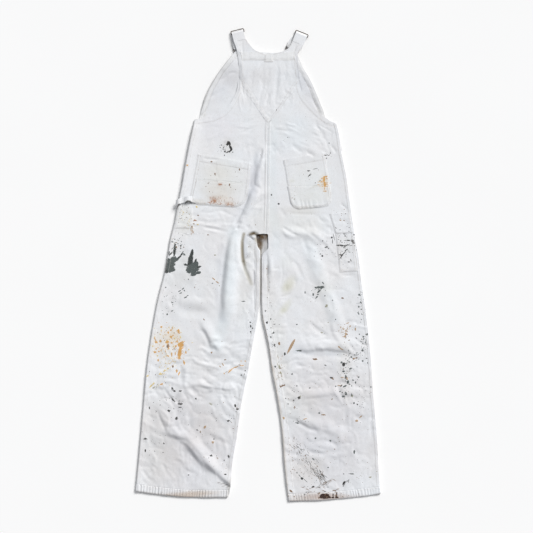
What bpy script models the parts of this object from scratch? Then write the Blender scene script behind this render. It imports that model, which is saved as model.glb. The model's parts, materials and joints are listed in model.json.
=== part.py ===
"""Painter's bib overalls in white cotton drill, laid flat on their front with the back uppermost.

Sizes are in millimetres until a mesh is made, and metres from there. +Y runs to the shoulders,
+Z is up from the surface that the overalls lie on, and the origin is under the outline's middle.
"""

import math

import bmesh
import bpy
from mathutils import Vector

METRE = 0.001  # one millimetre

CLOTH = 1.2  # thickness of the drill
HEM_CLOTH = 1.0  # thickness of a turned hem or facing
SEAM = 0.3  # space between two pieces that meet at a seam
LAID = 0.45  # space between a panel and a piece sewn on it
BACK = 5.6  # top of the back layer above the surface
LOWEST_TOP = 3.6  # the top of the back layer in the deepest trough
SHOULDER = 3.6  # how much higher the back layer lies over the bib's corners
SHOULDER_FROM, SHOULDER_RUN = 520.0, 65.0
WAIST = 335.0  # where the bib is sewn to the front panels
CROTCH = 90.0  # where the centre seam ends at the top of the legs
LEG_HEM = 22.0
LEVEL_FROM = -300.0  # below here the rows start to slant towards the hem
SAG_FROM, SAG_RUN = -520.0, 100.0  # where the rows start to sag towards the hem
COLUMNS_BACK, COLUMNS_FRONT = 12, 4

# The outline and the inside of each leg from the hem up, with the columns y and x.
SIDE_LEFT = [
    (-666, -361), (-535, -349), (-397, -337), (-304, -328.5), (-228, -318), (-162, -307),
    (-95, -294), (-22, -275), (31, -266), (73, -259), (135, -244), (191, -234), (228, -226),
    (286, -216), (335, -207), (384, -197), (428, -187),
]
SIDE_RIGHT = [
    (-674, 361), (-600, 356), (-535, 353), (-469, 348), (-377, 340), (-311, 336), (-213, 327),
    (-153, 320), (-108, 314), (-48, 305), (22, 297), (76, 287), (140, 277.5), (187, 271),
    (262, 260.5), (329, 247), (397, 237), (416, 231),
]
INSIDE_LEFT = [
    (-684, -88.5), (-656, -80.5), (-587, -75), (-508, -62), (-416, -49), (-358, -38),
    (-311, -28), (-282, -23.5), (-198, -8.5), (-150, 1), (-95, 8), (14, 8),
]
INSIDE_RIGHT = [
    (-696, 90), (-640, 82), (-574, 75.5), (-508, 71), (-442, 63.5), (-377, 53), (-311, 40),
    (-243, 31), (-198, 22), (-150, 11.5), (-95, 9.6), (14, 9.6),
]
# How the inside edges go on from there: open at the back below the crotch, joined at the front.
OPEN_LEFT = [(37, 7), (55, -2), (88, -6)]
OPEN_RIGHT = [(30, 12), (50, 29), (88, 29)]
FORK_LEFT = [(45, 17.9)]
FORK_RIGHT = [(45, 18.1)]
CENTRE_FRONT = 18.0
CENTRE_BACK = [(93, 23.5), (200, 26.5), (300, 28), (415, 29)]

# The back armholes from the side seam up to the yoke, with the columns x and y.
ARMHOLE_LEFT = [
    (-187, 428), (-160, 431), (-138, 434), (-120, 441), (-104, 450), (-88, 466),
    (-74.5, 487), (-62.5, 515), (-57.6, 545.6),
]
ARMHOLE_RIGHT = [
    (231, 416), (212, 424), (199, 432), (186, 441), (174, 452), (160, 466),
    (146, 482), (134, 500), (125.5, 521), (123.8, 545.4),
]

# The yoke's seam, with the columns y, x on the left, x on the right.
YOKE_SEAM = [
    (416.5, 28.0, 30.4), (432, 17.9, 45.0), (450, 6.2, 62.0), (469, -6.2, 74.0),
    (488, -18.6, 86.0), (506, -30.4, 97.5), (524, -42.1, 109.0), (545, -55.8, 122.9),
]
# Rows of the yoke and its two shoulder arms, with the columns left x, left y, right x, right y.
YOKE = [(-55.6, 561, 122, 561), (-55.6, 578, 119.5, 578), (-57.2, 594, 118, 594), (-58.6, 607, 117, 607)]
ARM_LEFT = [
    (-60.5, 620, 17, 620), (-61.5, 626, 4, 625), (-63, 632, -9, 631),
    (-65.5, 641, -23, 645), (-69, 650, -32, 657), (-72.3, 658.6, -38.3, 667),
]
ARM_RIGHT = [
    (42, 620, 116, 620), (62, 624.5, 118, 625), (78, 630, 121, 630.5),
    (90, 638, 125.5, 636.5), (97, 649, 130, 642), (101.4, 659.5, 133.8, 646.4),
]
ARM_COLUMNS, NECK_COLUMNS = 5, 2

# Rows of the bib, with the columns left x, left y, right x, right y.
BIB = [
    (-207, 335.3, 248, 335.3), (-202, 360, 243, 360), (-197, 384, 239.5, 384),
    (-188, 420, 230, 412), (-174, 432, 200, 426), (-166, 460, 194, 448),
    (-158, 487, 182.5, 477), (-146.5, 515, 171, 505), (-133, 541, 159, 533),
    (-117, 566, 145.5, 558), (-99, 590, 132, 580), (-82, 611, 122.5, 601), (-66, 630, 115, 619),
]
BIB_SIDE_HEM, BIB_TOP_HEM = 15.0, 13.0
BUTTONS = {"left": (-42.0, 607.0), "right": (92.0, 601.0)}
BUTTON_LIFT = 4.9  # a button and its buckle hold the bib up by this much
BUTTON_NEAR, BUTTON_RUN = 30.0, 65.0  # it is held up all round this near, and down after this run

# The largest folds of the back layer. Each has its crest as (x, y) points, how far it spreads to
# the left and to the right of the way that the crest runs, and its height. A trough is below 0.
FOLDS = [
    dict(crest=[(-52, 118), (-57, 60), (-64, -20), (-74, -90), (-84, -150)], left=16, right=44, height=11.5),
    dict(crest=[(-172, -150), (-150, -196), (-121, -241), (-82, -264), (-45, -292)], left=30, right=24, height=5.5),
    dict(crest=[(-160, -372), (-110, -330), (-60, -303)], left=24, right=24, height=3.0),
    dict(crest=[(-226, -312), (-151, -322), (-59, -345)], left=24, right=26, height=3.5),
    dict(crest=[(-300, -384), (-236, -478), (-190, -521), (-138, -556), (-86, -628)], left=46, right=22, height=10.5),
    dict(crest=[(-276, -490), (-264, -520), (-207, -541), (-161, -593), (-120, -640)], left=22, right=22, height=-2.0),
    dict(crest=[(58, 110), (100, 93), (150, 92), (206, 46)], left=24, right=22, height=3.5),
    dict(crest=[(150, 84), (192, -42), (238, -173), (264, -256)], left=26, right=30, height=6.0),
    dict(crest=[(98, -236), (164, -240), (244, -238), (306, -226)], left=20, right=18, height=3.0),
    dict(crest=[(106, -262), (164, -268), (244, -266), (298, -254)], left=16, right=18, height=-2.0),
    dict(crest=[(80, -386), (200, -380), (334, -368)], left=24, right=20, height=3.0),
    dict(crest=[(92, -446), (152, -470), (226, -497), (246, -536)], left=28, right=22, height=4.5),
    dict(crest=[(34, 232), (11, 212), (-24, 182), (-52, 150)], left=20, right=20, height=2.5),
    dict(crest=[(88, 372), (165, 333), (200, 300)], left=20, right=20, height=2.5),
]
FOLD_ENDS = 0.3  # the share of a fold's length over which each end dies away

# Levels of the rows of a panel, below its hem row.
BACK_LEVELS = [
    -620, -594, -568, -542, -516, -490, -464, -438, -412, -386, -360, -334, -308, -280, -250,
    -220, -190, -160, -130, -100, -66, -32, 0, 26, 46, 66, 88, 93.5, 120, 150, 180, 210, 242,
    274, 306, 338, 370, 396,
]
FRONT_LEVELS = [-560, -470, -397, -311, -228, -153, -95, -22, 14, 45, 100, 160, 228, 286, 334.7]

# The pieces sewn flat on the back panels, as corners with the columns x, y, radius.
POCKET_LEFT = [(-177, 325, 0), (-21, 297, 0), (-32, 165, 20), (-205, 178, 30)]
PATCH_LEFT = [(-183, 251, 0), (-29, 238, 0), (-34, 167, 18), (-202, 180, 28)]
POCKET_RIGHT = [(74, 308, 0), (196, 330, 0), (222, 172, 28), (98, 160, 28)]
PATCH_RIGHT = [(86, 231, 0), (211, 231, 0), (219, 174, 26), (100, 162, 26)]
TOOL_LEFT = [(-236, 170, 0), (-193, 170, 0), (-189, 106, 0), (-247, 106, 0)]
TOOL_RIGHT_UPPER = [(210, 150, 0), (269, 152, 0), (281, 93, 0), (228, 89.6, 0)]
TOOL_RIGHT_LOWER = [(228, 88, 0), (282, 91, 0), (294, -20, 0), (240, -23, 0)]
TAB = [(18, 596, 0), (44, 596, 0), (44, 616, 0), (18, 616, 0)]

# The hammer loop along its middle, with the columns x, y, height above the panel.
LOOP = [
    (-239, 187.5, 0), (-233, 187.6, 0), (-228, 187.8, 2.5), (-222, 188.2, 6.2),
    (-214, 188.8, 8.6), (-206, 189.4, 8.8), (-198, 189.9, 7), (-192, 190, 4.4),
    (-187, 190, 3.4), (-180, 190, 3.4), (-172, 190, 3.4),
]
LOOP_HALF = 9.5

# Each strap, with the place of its fold, its lean from +Y in degrees, how far its lower end
# drifts sideways, and how far back below itself it runs to the buckle.
STRAPS = {
    "left": dict(fold=(-61.1, 686.4), lean=14.0, drift=-5.0, back=47.4),
    "right": dict(fold=(128.2, 679.3), lean=-22.0, drift=-9.5, back=50.0),
}
STRAP_HALF = 17.0
STRAP_STARTS = {"left": 24.0, "right": 26.2}  # from the fold back to the shoulder arm's end
SLIDE_WIRE, BUCKLE_WIRE = 1.3, 1.2  # radii

WHITE_DRILL = ("white_drill", (0.80, 0.81, 0.83), 0.92, 0.0)
CREAM_DRILL = ("cream_drill", (0.78, 0.76, 0.71), 0.92, 0.0)
AGED_BRASS = ("aged_brass", (0.16, 0.11, 0.075), 0.5, 0.85)


def finish(piece, look):
    """Gives a piece its own material."""
    kind, colour, roughness, metallic = look
    material = bpy.data.materials.new(f"{piece.name}_{kind}")
    material.use_nodes = True
    shader = material.node_tree.nodes["Principled BSDF"]
    shader.inputs["Base Color"].default_value = (*colour, 1)
    shader.inputs["Roughness"].default_value = roughness
    shader.inputs["Metallic"].default_value = metallic
    piece.data.materials.append(material)


def show(name, data, look):
    """Puts a named piece in the scene."""
    piece = bpy.data.objects.new(name, data)
    bpy.context.scene.collection.objects.link(piece)
    finish(piece, look)
    return piece


def soft(t):
    """A step from 0 to 1 that starts and ends level."""
    t = min(1.0, max(0.0, t))
    return t * t * (3 - 2 * t)


def through(table, y):
    """The x at y of a smooth edge through a table of (y, x), straight on past its ends."""
    rises = [(b[1] - a[1]) / (b[0] - a[0]) for a, b in zip(table, table[1:])]

    def slope(k):
        before, after = rises[max(k - 1, 0)], rises[min(k, len(rises) - 1)]
        return 0.0 if before * after <= 0 else 2 * before * after / (before + after)

    k = max([i for i in range(len(rises)) if table[i][0] <= y], default=0)
    (y0, x0), (y1, x1) = table[k], table[k + 1]
    if y <= y0:
        return x0 + slope(k) * (y - y0)
    if y >= y1:
        return x1 + slope(k + 1) * (y - y1)
    t, rest = (y - y0) / (y1 - y0), (y1 - y) / (y1 - y0)
    bend = (slope(k) * rest - slope(k + 1) * t) * t * rest * (y1 - y0)
    return x0 * (1 + 2 * t) * rest**2 + x1 * (1 + 2 * rest) * t**2 + bend


def along(points, steps):
    """Points spaced evenly along a smooth line through the points given, its ends included."""
    run = [0.0]
    for a, b in zip(points, points[1:]):
        run.append(run[-1] + math.dist(a, b))
    axes = [[(s, p[k]) for s, p in zip(run, points)] for k in (0, 1)]
    return [tuple(through(axis, run[-1] * i / steps) for axis in axes) for i in range(steps + 1)]


def fold_height(fold, x, y):
    """How much one fold lifts the cloth at a point."""
    nearest, side, gone, place = math.inf, 0.0, 0.0, 0.0
    for (ax, ay), (bx, by) in zip(fold["line"], fold["line"][1:]):
        dx, dy = bx - ax, by - ay
        size = math.hypot(dx, dy)
        t = min(1.0, max(0.0, ((x - ax) * dx + (y - ay) * dy) / size**2))
        away = math.hypot(x - ax - t * dx, y - ay - t * dy)
        if away < nearest:
            nearest, side, place = away, dx * (y - ay) - dy * (x - ax), gone + t * size
        gone += size
    reach = fold["left"] if side > 0 else fold["right"]
    if nearest >= reach:
        return 0.0
    ends = soft(min(place, gone - place) / (FOLD_ENDS * gone))
    return fold["height"] * ends * 0.5 * (1 + math.cos(math.pi * nearest / reach))


def back_top(x, y):
    """The top of the back layer, and so of each panel in it."""
    z = BACK + SHOULDER * soft((y - SHOULDER_FROM) / SHOULDER_RUN)
    return max(LOWEST_TOP, z + sum(fold_height(fold, x, y) for fold in FOLDS))


def front_top(x, y):
    """The upper side of the front panels, which lie flat."""
    return CLOTH


def bib_top(x, y):
    """The upper side of the bib, which its buttons and buckles hold up."""
    near = min(math.dist((x, y), button) for button in BUTTONS.values())
    return CLOTH + BUTTON_LIFT * (1 - soft((near - BUTTON_NEAR) / BUTTON_RUN))


def solid(name, points, faces, look=WHITE_DRILL):
    """A closed body from points in millimetres, its faces pointing out."""
    mesh = bpy.data.meshes.new(name)
    mesh.from_pydata([Vector(p) * METRE for p in points], [], faces)
    body = bmesh.new()
    body.from_mesh(mesh)
    bmesh.ops.recalc_face_normals(body, faces=body.faces)
    body.to_mesh(mesh)
    body.free()
    return show(name, mesh, look)


def shell(name, outside, inside, faces, look=WHITE_DRILL):
    """A closed body between two skins with the same faces. Gives back the outer skin."""
    count, rim = len(outside), set()
    for face in faces:
        for a, b in zip(face, face[1:] + face[:1]):
            if (b, a) in rim:
                rim.remove((b, a))
            else:
                rim.add((a, b))
    whole = faces + [tuple(count + i for i in reversed(face)) for face in faces]
    for a, b in sorted(rim):
        whole += [(b, a, count + a), (b, count + a, count + b)]
    solid(name, list(outside) + list(inside), whole, look)
    return outside, faces


def grid(name, rows, made=None, look=WHITE_DRILL):
    """A shell from rows of (outside, inside) points. made says which of its cells there are."""
    wide = len(rows[0]) - 1
    cells = [(i, j) for i in range(len(rows) - 1) for j in range(wide) if made is None or made(i, j)]
    used = sorted({(i + a, j + b) for i, j in cells for a in (0, 1) for b in (0, 1)})
    number = {cell: k for k, cell in enumerate(used)}
    faces = []
    for i, j in cells:
        a, b, c, d = (number[cell] for cell in ((i, j), (i, j + 1), (i + 1, j + 1), (i + 1, j)))
        faces += [(a, b, c), (a, c, d)]
    outside, inside = ([rows[i][j][k] for i, j in used] for k in (0, 1))
    return shell(name, outside, inside, faces, look)


# How a panel turns round at a side where the front and back layers meet: from the edge inwards,
# the run and height of the outside, then of the inside. flat is the run where it stays level.
TURN_BACK = [dict(out=(0.0, 3.3), inner=(1.2, 3.3), flat=0.17), dict(out=(0.9, 4.7), inner=(1.75, 3.85), flat=1.3)]
TURN_FRONT = [dict(out=(0.0, 3.0), inner=(1.2, 3.0), flat=0.17), dict(out=(0.9, 0.9), inner=(1.75, 1.75), flat=1.3)]
TURN_RUN = 3.0


def panel_row(ends, turned, columns, top, front=False, sag=0.0):
    """One row of a panel between two points. turned says how far each end turns, from 0 to 1."""
    (x0, y0), (x1, y1) = ends
    long = math.dist(*ends)
    squeeze = min(1.0, long / (3 * TURN_RUN))

    def at(run, inner):
        f = run / long
        x, y = x0 + f * (x1 - x0), y0 + f * (y1 - y0) - sag * 4 * f * (1 - f)
        return Vector((x, y, top(x, y) - (CLOTH if inner != front else 0)))

    def edge(step, share, far_end):
        pair = []
        for key in ("out", "inner"):
            run = (step["flat"] + (step[key][0] - step["flat"]) * share) * squeeze
            p = at(long - run if far_end else run, key == "inner")
            p.z += (step[key][1] - p.z) * share
            pair.append(p)
        return tuple(pair)

    steps = TURN_FRONT if front else TURN_BACK
    first = TURN_RUN * squeeze
    runs = [first + (long - 2 * first) * k / columns for k in range(columns + 1)]
    near = [edge(step, turned[0], False) for step in steps]
    far = [edge(step, turned[1], True) for step in reversed(steps)]
    return near + [(at(run, False), at(run, True)) for run in runs] + far


def leg_line(side, y, inside):
    """The outer and the inner end of a leg's row, its slant allowed for, and how far it sags."""
    low = y - side["slant"] * soft((LEVEL_FROM - y) / (LEVEL_FROM - side["hem"]))
    sag = side["sag"] * soft((SAG_FROM - y) / SAG_RUN)
    ends = [(through(side["outline"], y), y), (inside(low), low)]
    return (ends if side["left"] else ends[::-1]), sag


def leg_rows(side, inside, levels, open_from, open_to, **panel):
    """The rows of a panel from the leg hem up. Its inner edge turns round below open_from."""
    rows = []
    for y in levels:
        ends, sag = leg_line(side, y, inside)
        turn = 1 - soft((y - open_from) / (open_to - open_from))
        turned = (1.0, turn) if side["left"] else (turn, 1.0)
        rows.append(panel_row(ends, turned, sag=sag, **panel))
    return rows


def back_panel(name, side):
    """A back panel, from the leg hem to the yoke's seam and the armhole."""
    edge = INSIDE_LEFT + OPEN_LEFT if side["left"] else INSIDE_RIGHT + OPEN_RIGHT
    start = side["hem"] + LEG_HEM + SEAM
    levels = [start] + [y for y in BACK_LEVELS if y > start + 12]
    panel = dict(columns=COLUMNS_BACK, top=back_top)
    inside = lambda y: through(edge if y < CROTCH else CENTRE_BACK, y)
    rows = leg_rows(side, inside, levels, 50, CROTCH, **panel)
    stations = along(side["armhole"], len(YOKE_SEAM) - 1)
    for outer, (y, left_x, right_x) in zip(stations, YOKE_SEAM):
        ends = [outer, (left_x if side["left"] else right_x, y)]
        turned = (1.0 if outer == stations[0] else 0.0, 0.0)
        if not side["left"]:
            ends, turned = ends[::-1], turned[::-1]
        rows.append(panel_row(ends, turned, **panel))
    return grid(name, rows)


def front_panel(name, side):
    """A front panel, from the leg hem to the waist."""
    edge = INSIDE_LEFT + FORK_LEFT if side["left"] else INSIDE_RIGHT + FORK_RIGHT
    levels = [side["hem"] + LEG_HEM + SEAM] + FRONT_LEVELS
    join = edge[-1][0]
    inside = lambda y: through(edge, y) if y < join else CENTRE_FRONT
    grid(name, leg_rows(side, inside, levels, 20, join, columns=COLUMNS_FRONT, top=front_top, front=True))


def leg_hem(name, side):
    """A leg hem: a flattened ring of turned-up cloth below the panels."""
    edge = INSIDE_LEFT if side["left"] else INSIDE_RIGHT
    points, faces, rings = [], [], 3
    for k in range(rings):
        y = side["hem"] + LEG_HEM * k / (rings - 1)
        (a, b), sag = leg_line(side, y, lambda low: through(edge, low))
        long = math.dist(a, b)

        def at(run, z):
            f = run / long
            return Vector((a[0] + f * (b[0] - a[0]), a[1] + f * (b[1] - a[1]) - sag * 4 * f * (1 - f), z))

        def loop(floor, over, ends):
            """Round the ring: along the floor, round one end, back over the top, round the other."""
            runs = [TURN_RUN + (long - 2 * TURN_RUN) * i / COLUMNS_BACK for i in range(COLUMNS_BACK + 1)]
            low = [at(run, floor) for run in runs]
            high = [at(run, back_top(*at(run, 0).xy) + over) for run in reversed(runs)]
            near = [at(run, z) for run, z in reversed(ends)]
            far = [at(long - run, z) for run, z in ends]
            return low + far + high + near

        points += loop(0.0, 0.5, [(0.6, 0.7), (-0.4, 3.1), (0.6, 5.2)])
        points += loop(2.0, -1.6, [(2.2, 2.3), (1.7, 3.0), (2.2, 3.6)])
    n = len(points) // (2 * rings)
    outer, inner = ([[(2 * k + layer) * n + i for i in range(n)] for k in range(rings)] for layer in (0, 1))
    walls = list(zip(outer, outer[1:])) + list(zip(inner[1:], inner)) + [(inner[0], outer[0]), (outer[-1], inner[-1])]
    for below, above in walls:
        for i in range(n):
            j = (i + 1) % n
            faces += [(below[i], below[j], above[j]), (below[i], above[j], above[i])]
    solid(name, points, faces)


def yoke_row(row, shares, seam=0.0):
    """A row of the yoke, with its points at shares of the way across."""
    x0, y0, x1, y1 = row
    line = []
    for f in shares:
        x, y = x0 + seam + f * (x1 - x0 - 2 * seam), y0 + f * (y1 - y0)
        z = back_top(x, y)
        line.append((Vector((x, y, z)), Vector((x, y, z - CLOTH))))
    return line


def yoke():
    """The back yoke with its shoulder arms, and the facing round its neckline."""
    (x0, base, neck_left, _), (neck_right, _, x1, _) = ARM_LEFT[0], ARM_RIGHT[0]
    left = [x0 + (neck_left - x0) * k / ARM_COLUMNS for k in range(ARM_COLUMNS)]
    neck = [neck_left + (neck_right - neck_left) * k / NECK_COLUMNS for k in range(NECK_COLUMNS)]
    right = [neck_right + (x1 - neck_right) * k / ARM_COLUMNS for k in range(ARM_COLUMNS + 1)]
    shares = [(x - x0) / (x1 - x0) for x in left + neck + right]
    evenly = [k / ARM_COLUMNS for k in range(ARM_COLUMNS + 1)]
    rows = [yoke_row((a, y, b, y), shares, SEAM / 2) for y, a, b in YOKE_SEAM]
    rows += [yoke_row(row, shares) for row in YOKE]
    whole = len(rows)
    middle = yoke_row((neck_left, base, neck_right, base), [k / NECK_COLUMNS for k in range(1, NECK_COLUMNS)])
    rows += [yoke_row(a, evenly) + middle + yoke_row(b, evenly) for a, b in zip(ARM_LEFT, ARM_RIGHT)]
    grid("back_yoke", rows, lambda i, j: i < whole or not 0 <= j - ARM_COLUMNS < NECK_COLUMNS)
    low, high = Vector((0, 0, LAID)), Vector((0, 0, LAID + HEM_CLOTH))
    band = [[(p + high, p + low) for p, _ in row] for row in rows[whole - 2 : whole + 1]]
    return grid("neck_facing", band, lambda i, j: 2 <= j < 2 * ARM_COLUMNS, CREAM_DRILL)


def rounded(corners):
    """An outline from corners of (x, y, radius)."""
    line = []
    for k, (x, y, radius) in enumerate(corners):
        here = Vector((x, y))
        to_last = (Vector(corners[k - 1][:2]) - here).normalized()
        to_next = (Vector(corners[(k + 1) % len(corners)][:2]) - here).normalized()
        start = radius / math.tan(to_last.angle(to_next) / 2)
        for t in (0, 0.25, 0.5, 0.75, 1.0) if radius else (0,):
            line.append(here + to_last * start * (1 - t) ** 2 + to_next * start * t**2)
    return line


def patch(name, skin, corners, thick=CLOTH, look=WHITE_DRILL):
    """A piece sewn flat on a panel: the part of its skin within the corners, moved out."""
    outline = rounded(corners)
    middle = sum(outline, Vector((0, 0))) / len(outline)
    body = bmesh.new()
    made = [body.verts.new(p) for p in skin[0]]
    for face in skin[1]:
        body.faces.new([made[i] for i in face])
    for k, a in enumerate(outline):
        way = outline[(k + 1) % len(outline)] - a
        out = Vector((way.y, -way.x))
        if out.dot(middle - a) > 0:
            out = -out
        every = body.verts[:] + body.edges[:] + body.faces[:]
        bmesh.ops.bisect_plane(
            body, geom=every, dist=0.02, plane_co=a.to_3d(), plane_no=out.to_3d(), clear_outer=True
        )
    bmesh.ops.triangulate(body, faces=body.faces)
    bmesh.ops.remove_doubles(body, verts=body.verts, dist=0.05)
    body.verts.index_update()
    under = [v.co + Vector((0, 0, LAID)) for v in body.verts]
    faces = [tuple(v.index for v in face.verts) for face in body.faces]
    body.free()
    return shell(name, [p + Vector((0, 0, thick)) for p in under], under, faces, look)


def bib_hem(name, edge, inwards, width, lift=LAID):
    """A turned hem of the bib, along points of its edge."""
    rows = []
    for x, y in edge:
        line = []
        for run in (0.6, width / 2, width):
            px, py = x + run * inwards[0], y + run * inwards[1]
            z = bib_top(px, py) + lift
            line.append((Vector((px, py, z + HEM_CLOTH)), Vector((px, py, z))))
        rows.append(line)
    grid(name, rows, look=CREAM_DRILL)


def bib():
    """The bib, face down, with its hems turned to the inside."""
    rows = []
    for x0, y0, x1, y1 in BIB:
        turn = 1.0 if y0 < 425 else 0.0
        ends = [(x0, y0), (x1, y1)]
        rows.append(panel_row(ends, (turn, turn), columns=COLUMNS_BACK, top=bib_top, front=True))
    grid("bib", rows)
    free = [row for row in BIB if row[1] > 425]
    shares = (0.18, 1.0)
    last = [free[-2][k] + (free[-1][k] - free[-2][k]) * shares[0] for k in range(4)]
    sides = free[:-1] + [last]
    bib_hem("bib_hem_left", [row[:2] for row in sides], (1, 0), BIB_SIDE_HEM)
    bib_hem("bib_hem_right", [row[2:] for row in sides], (-1, 0), BIB_SIDE_HEM)
    x0, y0, x1, y1 = BIB[-1]
    steps = [0.012] + [k / 8 for k in range(1, 8)] + [0.988]
    edge = [(x0 + (x1 - x0) * f, y0 + (y1 - y0) * f - 0.2) for f in steps]
    bib_hem("bib_hem_top", edge, (0, -1), BIB_TOP_HEM, LAID + 0.25)


def ribbon(name, path, half):
    """A strip of cloth along a path of (middle, direction across)."""
    rows = []
    for k, (p, across) in enumerate(path):
        way = path[min(k + 1, len(path) - 1)][0] - path[max(k - 1, 0)][0]
        lift = way.cross(across).normalized() * (CLOTH / 2)
        rows.append([(p + across * s * half + lift, p + across * s * half - lift) for s in (-1, 0, 1)])
    grid(name, rows)


def wire(name, line, radius):
    """A closed loop of round wire."""
    curve = bpy.data.curves.new(name, "CURVE")
    curve.dimensions = "3D"
    curve.bevel_depth = radius * METRE
    curve.bevel_resolution = 2
    spline = curve.splines.new("POLY")
    spline.points.add(len(line) - 1)
    for point, p in zip(spline.points, line):
        point.co = (*(p * METRE), 1)
    spline.use_cyclic_u = True
    show(name, curve, AGED_BRASS)


def turned_button(name, middle):
    """A dished button turned about its shank, lying on its face."""
    profile = [(0, 0), (7.2, 0), (8.5, 0.7), (8.5, 1.3), (7.6, 1.8), (2.5, 1.8), (2.5, 4.6), (0, 4.6)]
    body = bmesh.new()
    line = [body.verts.new((r * METRE, 0, z * METRE)) for r, z in profile]
    edges = [body.edges.new(pair) for pair in zip(line, line[1:])]
    bmesh.ops.spin(body, geom=line + edges, axis=(0, 0, 1), angle=2 * math.pi, steps=16, use_merge=True)
    bmesh.ops.remove_doubles(body, verts=body.verts, dist=0.01 * METRE)
    bmesh.ops.recalc_face_normals(body, faces=body.faces)
    mesh = bpy.data.meshes.new(name)
    body.to_mesh(mesh)
    body.free()
    show(name, mesh, AGED_BRASS).location = middle * METRE


def strap(side, fold, lean, drift, back):
    """A strap from its shoulder arm, under through a slide, and back below to its buckle."""
    lean = math.radians(lean)
    out, across = Vector((-math.sin(lean), math.cos(lean), 0)), Vector((math.cos(lean), math.sin(lean), 0))
    origin, button = Vector((*fold, 0)), Vector((*BUTTONS[side], 0))
    low, high = CLOTH / 2, BACK + SHOULDER - CLOTH / 2
    turn, wrap = (high - low) / 2, 2.1
    arc = [math.pi * k / 8 for k in range(9)]
    upper = [(-STRAP_STARTS[side], high), (-18, high + 0.1), (-10, high + 0.1)]
    upper += [(turn * (math.sin(t) - 1), low + turn * (1 + math.cos(t))) for t in arc]
    under = [(-14, low), (-26, low), (-38, low)]
    under += [(-back - wrap * math.sin(t), low + wrap * (1 - math.cos(t))) for t in arc]
    under += [(-back + 9, low + 2 * wrap), (-back + 18, low + 2 * wrap)]
    path = [(origin + out * s + Vector((0, 0, z)), across) for s, z in upper]
    for s, z in under:
        aside = drift * soft(-s / (back - 8))
        path.append((origin + out * s + across * aside + Vector((0, 0, z)), across))
    ribbon("strap_" + side, path, STRAP_HALF)

    # The slide is a ring of wire round the fold, its corners rounded.
    middle, ring = origin - out * 0.7 + Vector((0, 0, low + turn)), []
    for k, (a, b) in enumerate(((1, 1), (-1, 1), (-1, -1), (1, -1))):
        for t in (math.radians(90 * k + step) for step in (0, 30, 60, 90)):
            ring.append(middle + across * (a * 16.4 + 2.8 * math.cos(t)) + out * (b * 2.4 + 2.8 * math.sin(t)))
    wire("strap_slide_" + side, ring, SLIDE_WIRE)

    # The buckle's bar is in the end of the strap, and its narrow end is round the button's shank.
    bar = origin - out * back + across * drift
    reach, down = (button - bar).length, (button - bar).normalized()
    aside = Vector((-down.y, down.x, 0))
    half = [(6, 0), (18.8, 0), (19.2, 6), (11, 17), (6.0, reach - 8), (5.3, reach), (3.8, reach + 3.8)]
    loop = half + [(0, reach + 5.3)] + [(-a, b) for a, b in reversed(half)]
    height = low + wrap
    line = []
    for a, b in loop:
        z = height + 0.6 * soft(b / (reach - 9))
        line.append(bar + (across if b < 10 else aside) * a + down * b + Vector((0, 0, z)))
    wire("buckle_" + side, line, BUCKLE_WIRE)
    turned_button("button_" + side, button)


def hammer_loop():
    """A band sewn down at both ends, which stands off the left side seam."""
    path = []
    for x, y, above in LOOP:
        under = max(back_top(x, y + step) for step in (-10, 0, 10))
        path.append((Vector((x, y, under + LAID + 0.15 + CLOTH / 2 + above)), Vector((0, 1, 0))))
    ribbon("hammer_loop", path, LOOP_HALF)


for thing in list(bpy.data.objects):
    bpy.data.objects.remove(thing)
for fold in FOLDS:
    fold["line"] = along(fold["crest"], 10)

sides = {
    "left": dict(left=True, outline=SIDE_LEFT, armhole=ARMHOLE_LEFT, hem=-666, slant=18, sag=8),
    "right": dict(left=False, outline=SIDE_RIGHT, armhole=ARMHOLE_RIGHT, hem=-674, slant=22, sag=5),
}
skins = {}
for key, side in sides.items():
    skins[key] = back_panel("back_" + key, side)
    front_panel("front_" + key, side)
    leg_hem("leg_hem_" + key, side)
    strap(key, **STRAPS[key])
facing = yoke()
patch("neck_tab", facing, TAB, HEM_CLOTH, CREAM_DRILL)
bib()
pocket = patch("back_pocket_left", skins["left"], POCKET_LEFT)
patch("pocket_patch_left", pocket, PATCH_LEFT)
pocket = patch("back_pocket_right", skins["right"], POCKET_RIGHT)
patch("pocket_patch_right", pocket, PATCH_RIGHT)
patch("tool_pocket_left", skins["left"], TOOL_LEFT)
patch("tool_pocket_right_upper", skins["right"], TOOL_RIGHT_UPPER)
patch("tool_pocket_right_lower", skins["right"], TOOL_RIGHT_LOWER)
hammer_loop()
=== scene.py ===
"""Looks of a painter's white drill bib overalls, laid flat on their front with the back uppermost.

The cloth is made in millimetres: +Y runs to the shoulders, +Z is up from the surface that the
overalls lie on, and the tables of edges and folds are those of the construction. Each panel is a
thin closed shell with a finer surface than its solid, with its creases, seams and paint.
"""

import json
import math

import bpy
import numpy as np
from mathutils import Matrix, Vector
from mathutils.bvhtree import BVHTree

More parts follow.
